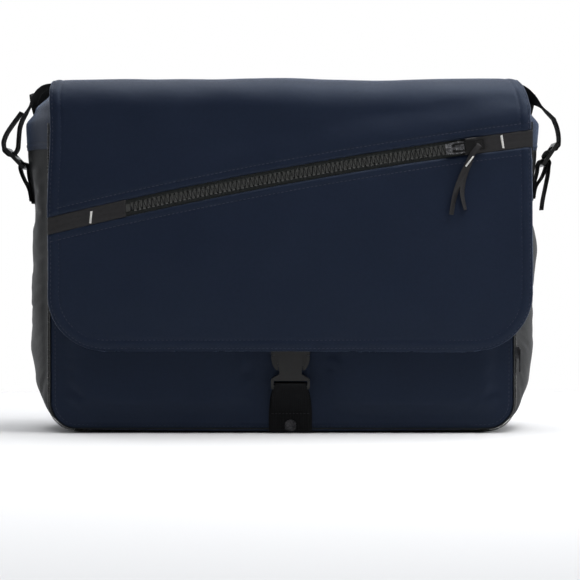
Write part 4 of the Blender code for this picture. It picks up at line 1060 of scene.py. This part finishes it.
def build_panels():
    x, z = panel_grid(FRONT_TOP, -0.0005, sag=FRONT_SAG)
    d = panel_distance(x, z, FRONT_TOP, -0.0005)
    out = body_front_swell(x, z) + hem(d, (0.0035,))
    grid = beside(x, FRONT_Y - out, z)
    sewn = 1 - ease(0.005, 0.022, d) * ease(0.020, 0.040, np.abs(x - BUCKLE_X))
    grid = settle(grid, sewn, 1, -1, 0.018, 0.8, 0.0024)
    front_grid, weave = faced(grid, beside(x, z), 1, -1)
    front = sheet_piece("body_front_cloth", front_grid, CLOTH, weave, NAVY)
    declare(front, grid, "stretched", "seam_zip_tape_cloth")
    place(front, "bag", "front_panel", slot="navy_canvas")

    x, z = panel_grid(BACK_TOP, 0.0)
    d = panel_distance(x, z, BACK_TOP, 0.0)
    bow = 0.0018 * ease(0.0, 0.06, HALF - np.abs(x)) * ease(0.0, 0.06, z) * ease(0.0, 0.05, BACK_TOP - z)
    out = bow + 0.0006 * ripple(x, z, 0.090, 41) * ease(0.0, 0.03, d) + hem(d, (0.0035,))
    grid = beside(x, BACK_Y + out, z)
    sewn = 1 - ease(0.005, 0.022, d) * ease(0.018, 0.040, BACK_TOP - z)
    grid = settle(grid, sewn, 1, 1, 0.018, 0.8, 0.0030)
    back_grid, weave = faced(grid, beside(x, z), 1, 1)
    back = sheet_piece("body_back_cloth", back_grid, CLOTH, weave, NAVY)
    declare(back, grid, "stretched", "gusset_skin_left", "gusset_skin_right")
    place(back, "bag", "back_panel", slot="navy_canvas")

    rows = Bundle()
    x, z = resample(seam_points(-0.0040, FRONT_TOP - 0.004)[0], 0.0015).T
    lift = body_front_swell(x, z) - ROW_DEPTH
    line = beside(x, FRONT_Y - lift, z - panel_dip(x, HALF, z, LOW, FRONT_SAG))
    for part in runs(np.abs(x - BUCKLE_X) > 0.0145):
        add_row(rows, line[part], (0, -1, 0))
    x, z = resample(seam_points(-0.0035, BACK_TOP - 0.004)[0], 0.0015).T
    add_row(rows, beside(x, BACK_Y - ROW_DEPTH, z), (0, 1, 0))
    x = np.arange(-0.180, 0.1805, 0.0015)
    for z in (0.2745, 0.2780):
        add_row(rows, beside(x, 0.06575, z), (0, 1, 0))
    place(rows.piece("body_panel_stitching", NAVY_THREAD), "bag")


def gusset_places(n):
    """Shares along and across the lower gusset, with its place and outward direction on the seam."""
    tuck, bend = 0.004, CORNER * math.pi / 2
    total = tuck + bend + (JOIN - LOW - CORNER)
    at = np.linspace(0, total, n)
    cx, cz = HALF - CORNER, LOW + CORNER
    a = np.clip((at - tuck) / CORNER, 0, math.pi / 2) - math.pi / 2
    x = np.where(at < tuck, cx - tuck + at, np.where(at < tuck + bend, cx + CORNER * np.cos(a), HALF))
    z = np.where(at < tuck, LOW, np.where(at < tuck + bend, cz + CORNER * np.sin(a), cz + at - tuck - bend))
    nx = np.where(at < tuck, 0.0, np.where(at < tuck + bend, np.cos(a), 1.0))
    nz = np.where(at < tuck, -1.0, np.where(at < tuck + bend, np.sin(a), 0.0))
    return at, x, z, nx, nz


def swell(y):
    """The gusset's crown across its depth: 0 at both seams and 1 halfway."""
    middle, half = (G_FRONT + G_BACK) / 2, (G_BACK - G_FRONT) / 2
    return 1 - ((y - middle) / half) ** 2


def gusset_fold(y, z, seed):
    """Wrinkles of the soft leatherette: slanted folds that grow towards the foot, and slack higher up."""
    edge = ease(0.0, 0.020, y - G_FRONT) * ease(0.0, 0.020, G_BACK - y)
    low = np.exp(-(((z - 0.050) / 0.050) ** 2))
    folds = 0.0010 * ripple(y, z, 0.070, seed, stretch=0.7) * low
    slack = 0.0007 * ripple(y, z, 0.150, seed + 1) + 0.0002 * ripple(y, z, 0.030, seed + 2, stretch=0.6)
    near_tab = np.exp(-(((y - STRAP_Y) / 0.030) ** 2)) * ease(0.165, 0.190, z)
    full = 0.0055 * np.exp(-(((z - 0.155) / 0.024) ** 2)) * swell(y) if seed > 60 else 0.0
    return ((folds + slack + 0.0006) * edge * (1 - 0.95 * near_tab) + full) * ease(0.004, 0.020, z)


def wing_out(y, z, side):
    """How far the cloth above a gusset stands out from the body's side."""
    slack = 0.0006 * ripple(y, z, 0.06, 80 + side) * ease(0.0, 0.02, np.minimum(y - G_FRONT, G_BACK - y))
    return follow(WING_BULGE, z) * swell(y) + follow(WING_LEAN, z) + slack


def build_gussets():
    for side, hand in ((-1, "left"), (1, "right")):
        at, x, z, nx, nz = gusset_places(110)
        y = spaced(G_FRONT, G_BACK, 0.008, 0.0012, 0.0025)
        u, v = net(np.arange(len(at)), y)
        out = follow(LOWER_BULGE, z[u]) * swell(v) + gusset_fold(v, z[u], 60 + side * 7)
        d = np.minimum(v - G_FRONT, G_BACK - v)
        out = out - 0.0004 * np.exp(-(((d - 0.0030) / 0.0008) ** 2))
        grid = beside(side * (x[u] + nx[u] * out), v, z[u] + nz[u] * out)
        grid[..., 2] = np.maximum(grid[..., 2], 0.0006)
        tab = np.exp(-((np.maximum(np.abs(v - STRAP_Y) - 0.020, 0) / 0.008) ** 2)) * ease(0.170, 0.190, z[u])
        sewn = 1 - ease(0.004, 0.016, d) * ease(0.000, 0.030, at[u]) * ease(0.002, 0.018, JOIN - z[u]) * (1 - tab)
        grid = settle(grid, sewn, 0, side, 0.020, 1.2, 0.0022)
        grid[..., 2] = np.maximum(grid[..., 2], 0.0006)
        grid, weave = faced(grid, beside(v, at[u]), 0, side)
        piece = sheet_piece(f"gusset_skin_{hand}", grid, 0.0015, weave, LEATHER)
        declare(piece, grid, "stretched", "body_back_cloth", "seam_zip_tape_cloth")
        place(piece, "bag", f"gusset_{hand}", slot="leatherette")

        zs = spaced(JOIN + FIT, WING_TOP, 0.008, 0.0010, 0.0022)
        u, v = net(zs, y)
        out = wing_out(v, u, side) + hem(np.minimum(u - JOIN, 0.02), (0.0022, 0.0060))
        grid = beside(side * (HALF + out), v, u)
        grid, weave = faced(grid, beside(v, u), 0, side)
        piece = sheet_piece(f"wing_cloth_{hand}", grid, 0.0015, weave, NAVY)
        declare(piece, grid, "stretched", "body_back_cloth", f"gusset_skin_{hand}")
        place(piece, "bag", f"gusset_wing_{hand}", slot="navy_canvas")

        rows = Bundle()
        for z0 in (JOIN + FIT + 0.0022, JOIN + FIT + 0.0060):
            yy = np.arange(G_FRONT + 0.001, G_BACK - 0.001, 0.0012)
            out = wing_out(yy, np.full_like(yy, z0), side) - ROW_DEPTH
            add_row(rows, beside(side * (HALF + out), yy, z0), (side, 0, 0))
        for y0 in (G_FRONT + 0.0030, G_BACK - 0.0030):
            out = follow(LOWER_BULGE, z) * swell(y0) + gusset_fold(np.full_like(z, y0), z, 60 + side * 7) - 0.0004
            line = beside(side * (x + nx * out), y0, np.maximum(z + nz * out, 0.0008))
            keep = z > 0.010
            add_row(rows, line[keep], beside(side * nx, 0 * nx, nz)[keep])
        place(rows.piece(f"gusset_stitching_{hand}", BLACK_THREAD), "bag")


def build_base():
    x = spaced(-0.176, 0.176, 0.008, 0.0015, 0.006)
    y = spaced(G_FRONT, G_BACK, 0.008, 0.0015, 0.006)
    u, v = net(x, y)
    edge = np.minimum(0.176 - np.abs(u), np.minimum(v - G_FRONT, G_BACK - v))
    z = 0.0004 + 0.0005 * (1 - ease(0.0, 0.010, edge)) + 0.00025 * ripple(u, v, 0.06, 91)
    grid = beside(u, v, np.maximum(z, 0.0001))
    grid, weave = faced(grid, beside(u, v), 2, -1)
    place(sheet_piece("base_skin", grid, 0.0016, weave, LEATHER), "bag", "bottom_panel", slot="leatherette")

    x, y = spaced(-0.166, 0.166, 0.006, 0.001, 0.008), spaced(-0.055, 0.060, 0.006, 0.001, 0.008)
    u, v = net(x, y)
    edge = np.minimum(0.166 - np.abs(u), np.minimum(v + 0.055, 0.060 - v))
    z = 0.0054 - 0.0006 * (1 - ease(0, 0.003, edge)) + 0.00005 * ripple(u, v, 0.05, 92)
    grid, weave = faced(beside(u, v, z), beside(u, v), 2, 1)
    place(sheet_piece("base_board_cover", grid, 0.0022, weave, LINING), "bag", "base_board", slot="base_board")


def build_lining():
    """The open liner: two walls and the strip between them, with a bound top edge."""
    gap, top = 0.0022, 0.2620
    y0, y1 = FRONT_Y + PANEL + 0.0006, BACK_Y - PANEL - 0.0006
    parts = Bundle()
    for y, sign in ((y0, 1), (y1, -1)):
        x, z = panel_grid(top, -gap)
        x, z = x[::2, ::2], z[::2, ::2]
        d = panel_distance(x, z, top, -gap)
        ins = 0.0004 + 0.0006 * (1 + ripple(x, z, 0.07, 95 + sign)) * ease(0.0, 0.02, d)
        grid = beside(x, y + sign * (ins + 0.0004), z)
        grid, weave = faced(grid, beside(x, z), 1, sign)
        parts.add(*cloth_sheet(grid, 0.0006, weave))
    pts, outs = seam_points(-gap, top, 16, 40)
    ys = np.linspace(y0 + 0.0006, y1 - 0.0006, 34)
    u, v = net(np.arange(len(pts)), ys)
    run = lengths(pts)
    ins = 0.0008 + 0.0007 * (1 + ripple(run[u], v, 0.06, 97)) * ease(0.0, 0.02, np.minimum(v - y0, y1 - v))
    grid = beside(pts[u, 0] - outs[u, 0] * ins, v, pts[u, 1] - outs[u, 1] * ins)
    weave = beside(v, run[u])
    mid = len(pts) // 2
    if normals(grid)[mid, 17, 2] < 0:
        grid, weave = flip(grid, weave)
    parts.add(*cloth_sheet(grid, 0.0006, weave))
    place(parts.piece("lining_cloth", LINING, 60), "bag", "lining", slot="grey_lining")
    rows = Bundle()
    x = np.arange(-0.188, 0.188, 0.0015)
    for y, sign in ((y0 + 0.0012, 1.0), (y1 - 0.0012, -1.0)):
        line = beside(x, y + sign * 0.0004, top - 0.004)
        add_row(rows, line, (0, sign, 0))
    place(rows.piece("lining_stitching", BLACK_THREAD), "bag")


# ---------------------------------------------------------------- the zip in the front seam
def build_seam_zip():
    top = 0.262
    pts, outs = seam_points(0.0004, top, 20, 70)
    run = lengths(pts)
    ys = np.array([-0.0660, -0.0652, -0.0640, -0.0628, -0.0618, -0.0606, -0.0594, -0.0582, -0.0576])
    u, v = net(np.arange(len(pts)), ys)
    lift = 0.0004 - 0.0003 * ((v < -0.0655) | (v > -0.0580))
    grid = beside(pts[u, 0] + outs[u, 0] * lift, v, pts[u, 1] + outs[u, 1] * lift)
    weave = beside(v, run[u])
    mid = len(pts) // 2
    if normals(grid)[mid, 4, 2] > 0:
        grid, weave = flip(grid, weave)
    place(sheet_piece("seam_zip_tape_cloth", grid, 0.0007, weave, TAPE), "bag", "seam_zip_tape", slot="black_webbing")

    # A spiral of nylon wire, flattened against the tape.
    pts, outs = seam_points(0.0020, top, 40, 90)
    line = beside(pts[:, 0], np.full(len(pts), -0.0618), pts[:, 1])
    out3 = beside(outs[:, 0], 0 * outs[:, 0], outs[:, 1])
    run = lengths(line)
    pitch, per, sides, wire = 0.00125, 10, 5, 0.00030
    turns = int(run[-1] / pitch)
    t = np.arange(turns * per + 1) / per
    at = t * pitch
    centre = np.stack([np.interp(at, run, line[:, k]) for k in range(3)], -1)
    normal = unit(np.stack([np.interp(at, run, out3[:, k]) for k in range(3)], -1))
    side = np.array([0, 1.0, 0])
    a = 2 * math.pi * t
    path = centre + normal * (0.00062 * np.sin(a))[:, None] + side * (0.00105 * np.cos(a))[:, None]
    ahead = unit(np.gradient(path, axis=0))
    ref = unit(np.cross(ahead, normal))
    other = np.cross(ref, ahead)
    ring = np.arange(sides) / sides * 2 * math.pi
    verts = path[:, None] + wire * (np.cos(ring)[:, None] * ref[:, None] + np.sin(ring)[:, None] * other[:, None])
    _, faces = tube_faces(len(path), sides)
    coil = mesh_piece("seam_zip_spiral", verts.reshape(-1, 3), faces.tolist(), TEETH, None, 60)
    tidy_normals(coil)
    place(coil, "bag", "seam_zip_coil", slot="black_plastic")
    soften("seam_zip_slider", 0.0003, RIVET_METAL)
    soften("seam_zip_pull", 0.0002, RIVET_METAL)


# ---------------------------------------------------------------- the buckle and its webbing
def build_buckle():
    soften("buckle_socket", 0.0006, PLASTIC, 4)
    soften("buckle_plug", 0.0006, PLASTIC, 4)
    soften("plug_arm_left", 0.0004, PLASTIC)
    soften("plug_arm_right", 0.0004, PLASTIC)
    soften("webbing_rivet", 0.0006, RIVET_METAL, 4)
    skin = FRONT_Y - FIT - WEBBING / 2
    loop = [(skin, 0.0012), (skin, 0.0200), (skin - 0.0002, 0.0330), (skin - 0.0006, 0.0390), (-0.0690, 0.0423),
            (-0.0723, 0.0426), (-0.0763, 0.0415), (-0.0770, 0.0385), (-0.0757, 0.0345), (-0.0720, 0.0290),
            (-0.0692, 0.0230), (-0.0684, 0.0190)]
    spread = [0.0365, 0.0362, 0.0330, 0.0285, 0.0268, 0.0266, 0.0268, 0.0280, 0.0302, 0.0318, 0.0322, 0.0318]
    web = band_piece("socket_webbing_cloth", [(BUCKLE_X, y, z) for y, z in loop], spread, WEBBING, (1, 0, 0), WEB,
                     steps=6, cells=52, ribs=12.5)
    place(web, "bag", "socket_webbing", slot="black_webbing")
    upper = [(-0.0755, 0.1300), (-0.0755, 0.1120), (-0.0754, 0.1020), (-0.0752, 0.0972), (-0.0738, 0.0943),
             (-0.0710, 0.0938), (-0.0692, 0.0955), (-0.0688, 0.0985), (-0.0700, 0.1025), (-0.0728, 0.1065),
             (-0.0738, 0.1120), (-0.0738, 0.1270)]
    web = band_piece("plug_webbing_cloth", [(BUCKLE_X, y, z) for y, z in upper], 0.0270, WEBBING * 0.8, (1, 0, 0), WEB,
                     steps=6, cells=52, ribs=12.5)
    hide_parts("plug_webbing")
    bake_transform(web)

    rows = Bundle()
    x = np.linspace(BUCKLE_X - 0.0165, BUCKLE_X + 0.0165, 40)
    line = beside(x, skin - 0.0006, 0.0166)
    add_row(rows, line, (0, -1, 0), length=0.0022, gap=0.0007)
    place(rows.piece("closure_stitching", BLACK_THREAD), "bag")


# ---------------------------------------------------------------- the shoulder strap and its side fittings
def build_strap():
    left_join, right_join = (0.2258, 0.2670), (0.2356, 0.2680)
    feet = {"left": ((0.2240, 0.2265), math.radians(44), -1), "right": ((0.2256, 0.2290), math.radians(34), 1)}
    # Each route runs through places on the bag ("frame") and places seen from the lock's foot, along its lean ("lock").
    routes = {
        "left": [
            ("frame", [left_join, (0.2280, 0.2600), (0.2290, 0.2500)]),
            ("lock", [(0.0152, -0.0065), (0.0140, 0.0), (0.0152, 0.0024), (0.0180, 0.0030), (0.0215, 0.0030),
                      (0.0235, 0.0016)]),
            ("frame", [(0.2420, 0.2480), (0.2395, 0.2550), (0.2350, 0.2620), (0.2295, 0.2695), (0.2262, 0.2740)]),
        ],
        "right": [
            ("frame", [right_join, (0.2384, 0.2610), (0.2400, 0.2530)]),
            ("lock", [(0.0215, 0.0028), (0.0188, 0.0028), (0.0164, 0.0028), (0.0146, 0.0006), (0.0136, -0.0008),
                      (0.0120, -0.0026), (0.0094, -0.0030), (0.0066, -0.0026), (0.0059, -0.0008), (0.0058, 0.0020),
                      (0.0044, 0.0046), (0.0010, 0.0062)]),
            ("frame", [(0.2306, 0.2190), (0.2284, 0.2080), (0.2262, 0.1970), (0.2252, 0.1890)]),
        ],
    }
    for hand, (foot, lean, side) in feet.items():
        soften(f"ladder_lock_{hand}", 0.0007, PLASTIC, 4)
        z = foot[1]
        gx = lambda at: HALF + float(follow(LOWER_BULGE, at))
        inner, outer = FIT + WEBBING, FIT + WEBBING * 2.3
        tab = [
            (gx(z - 0.032) + inner, z - 0.0320), (gx(z - 0.020) + inner, z - 0.0200),
            (max(foot[0] - 0.0044, gx(z - 0.0075) + inner), z - 0.0075), (foot[0] - 0.0036, z - 0.0010),
            (foot[0] - 0.0024, z + 0.0024), (foot[0], z + 0.0035), (foot[0] + 0.0026, z + 0.0023),
            (foot[0] + 0.0035, z - 0.0008), (foot[0] + 0.0022, z - 0.0060), (foot[0] - 0.0004, z - 0.0120),
            (gx(z - 0.020) + outer + 0.0004, z - 0.0200), (gx(z - 0.030) + outer, z - 0.0300),
        ]
        loop = band_piece(f"side_tab_cloth_{hand}", [(side * x, STRAP_Y, zz) for x, zz in tab], STRAP_WIDTH, WEBBING,
                          (0, 1, 0), WEB, steps=6, cells=36, ribs=17.5)
        place(loop, "bag", f"side_tab_{hand}", slot="black_webbing")

        def from_lock(v, n):
            sin, cos = math.sin(lean), math.cos(lean)
            return foot[0] + v * sin + n * cos, foot[1] + v * cos - n * sin

        route = [p if kind == "frame" else from_lock(*p) for kind, stretch in routes[hand] for p in stretch]
        end = band_piece(f"strap_end_cloth_{hand}", [(side * x, STRAP_Y, zz) for x, zz in route], STRAP_WIDTH, WEBBING,
                         (0, 1, 0), WEB, steps=8, cells=36, ribs=17.5)
        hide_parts(f"strap_end_{hand}")
        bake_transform(end)

        # Two rows of stitches sew the tab down.
        rows = Bundle()
        yy = np.linspace(STRAP_Y - 0.0165, STRAP_Y + 0.0165, 24)
        for zz in (z - 0.0285, z - 0.0195):
            x0 = gx(zz) + outer + WEBBING / 2 + 0.0002
            add_row(rows, beside(side * x0, yy, zz), (side, 0, 0))
        place(rows.piece(f"side_tab_stitching_{hand}", BLACK_THREAD), "bag")

    along_y = (0.0, 1.0, 0.0)

    def turn(join, places):
        foot, tip = Vector((join[0], STRAP_Y, join[1])), Vector(places[0])
        first = foot - (tip - foot).normalized() * 0.0004
        ways = [along_y, (0.0, 0.90, -0.43), (0.10, 0.58, -0.81), (0.30, 0.22, -0.92)]
        return [(first, along_y, 1), ((foot + tip) / 2, along_y, 0.80), *zip(places, ways, STRAP_SHARES)]

    left_turn = turn(left_join, [(0.2190, 0.0040, 0.2790), (0.2168, 0.0052, 0.2836), (0.2142, 0.0096, 0.2874),
                                 (0.2118, 0.0160, 0.2894)])
    right_turn = turn(right_join, [(0.2250, 0.0040, 0.2788), (0.2200, 0.0056, 0.2842), (0.2155, 0.0100, 0.2880),
                                   (0.2126, 0.0160, 0.2896)])
    half = [
        ((0.2100, 0.0270, 0.2920), (0.66, 0.10, -0.70), 0.60), ((0.2092, 0.0400, 0.2944), (0.85, 0.05, -0.52), 0.68),
        ((0.2092, 0.0530, 0.2962), (0.94, 0.03, -0.33), 0.78), ((0.2085, 0.0660, 0.2938), (0.98, 0.05, -0.15), 0.90),
        ((0.2065, 0.0760, 0.2855), (0.99, 0.10, -0.05), 1),
        ((0.2030, 0.0805, 0.2720), (0.97, 0.10, -0.20), 1), ((0.1960, 0.0820, 0.2430), (0.97, 0.05, -0.20), 1),
        ((0.1890, 0.0835, 0.2080), (0.95, 0.25, -0.20), 1), ((0.1790, 0.0870, 0.1650), (0.80, 0.55, -0.20), 1),
        ((0.1620, 0.0900, 0.1180), (0.45, 0.88, -0.10), 1), ((0.1330, 0.0905, 0.0760), (0.15, 0.98, 0.0), 1),
        ((0.0930, 0.0905, 0.0460), along_y, 1), ((0.0480, 0.0905, 0.0310), along_y, 1),
    ]
    right = [*right_turn, *half]
    left = [((-p[0], p[1], p[2]), (-w[0], w[1], w[2]), k) for p, w, k in [*left_turn, *half]]
    whole = [*left, ((0.0, 0.0905, 0.0265), along_y, 1), *right[::-1]]
    strap = band_piece("shoulder_strap_cloth", [tuple(p) for p, _, _ in whole], [STRAP_WIDTH * k for _, _, k in whole],
                       WEBBING, [tuple(w) for _, w, _ in whole], WEB, steps=7, cells=36, ribs=17.5)
    place(strap, "bag", "shoulder_strap", slot="black_webbing")


studio()
build_flap()
build_flap_stitches()
build_flap_zip()
build_panels()
build_gussets()
build_base()
build_lining()
build_seam_zip()
build_buckle()
build_strap()
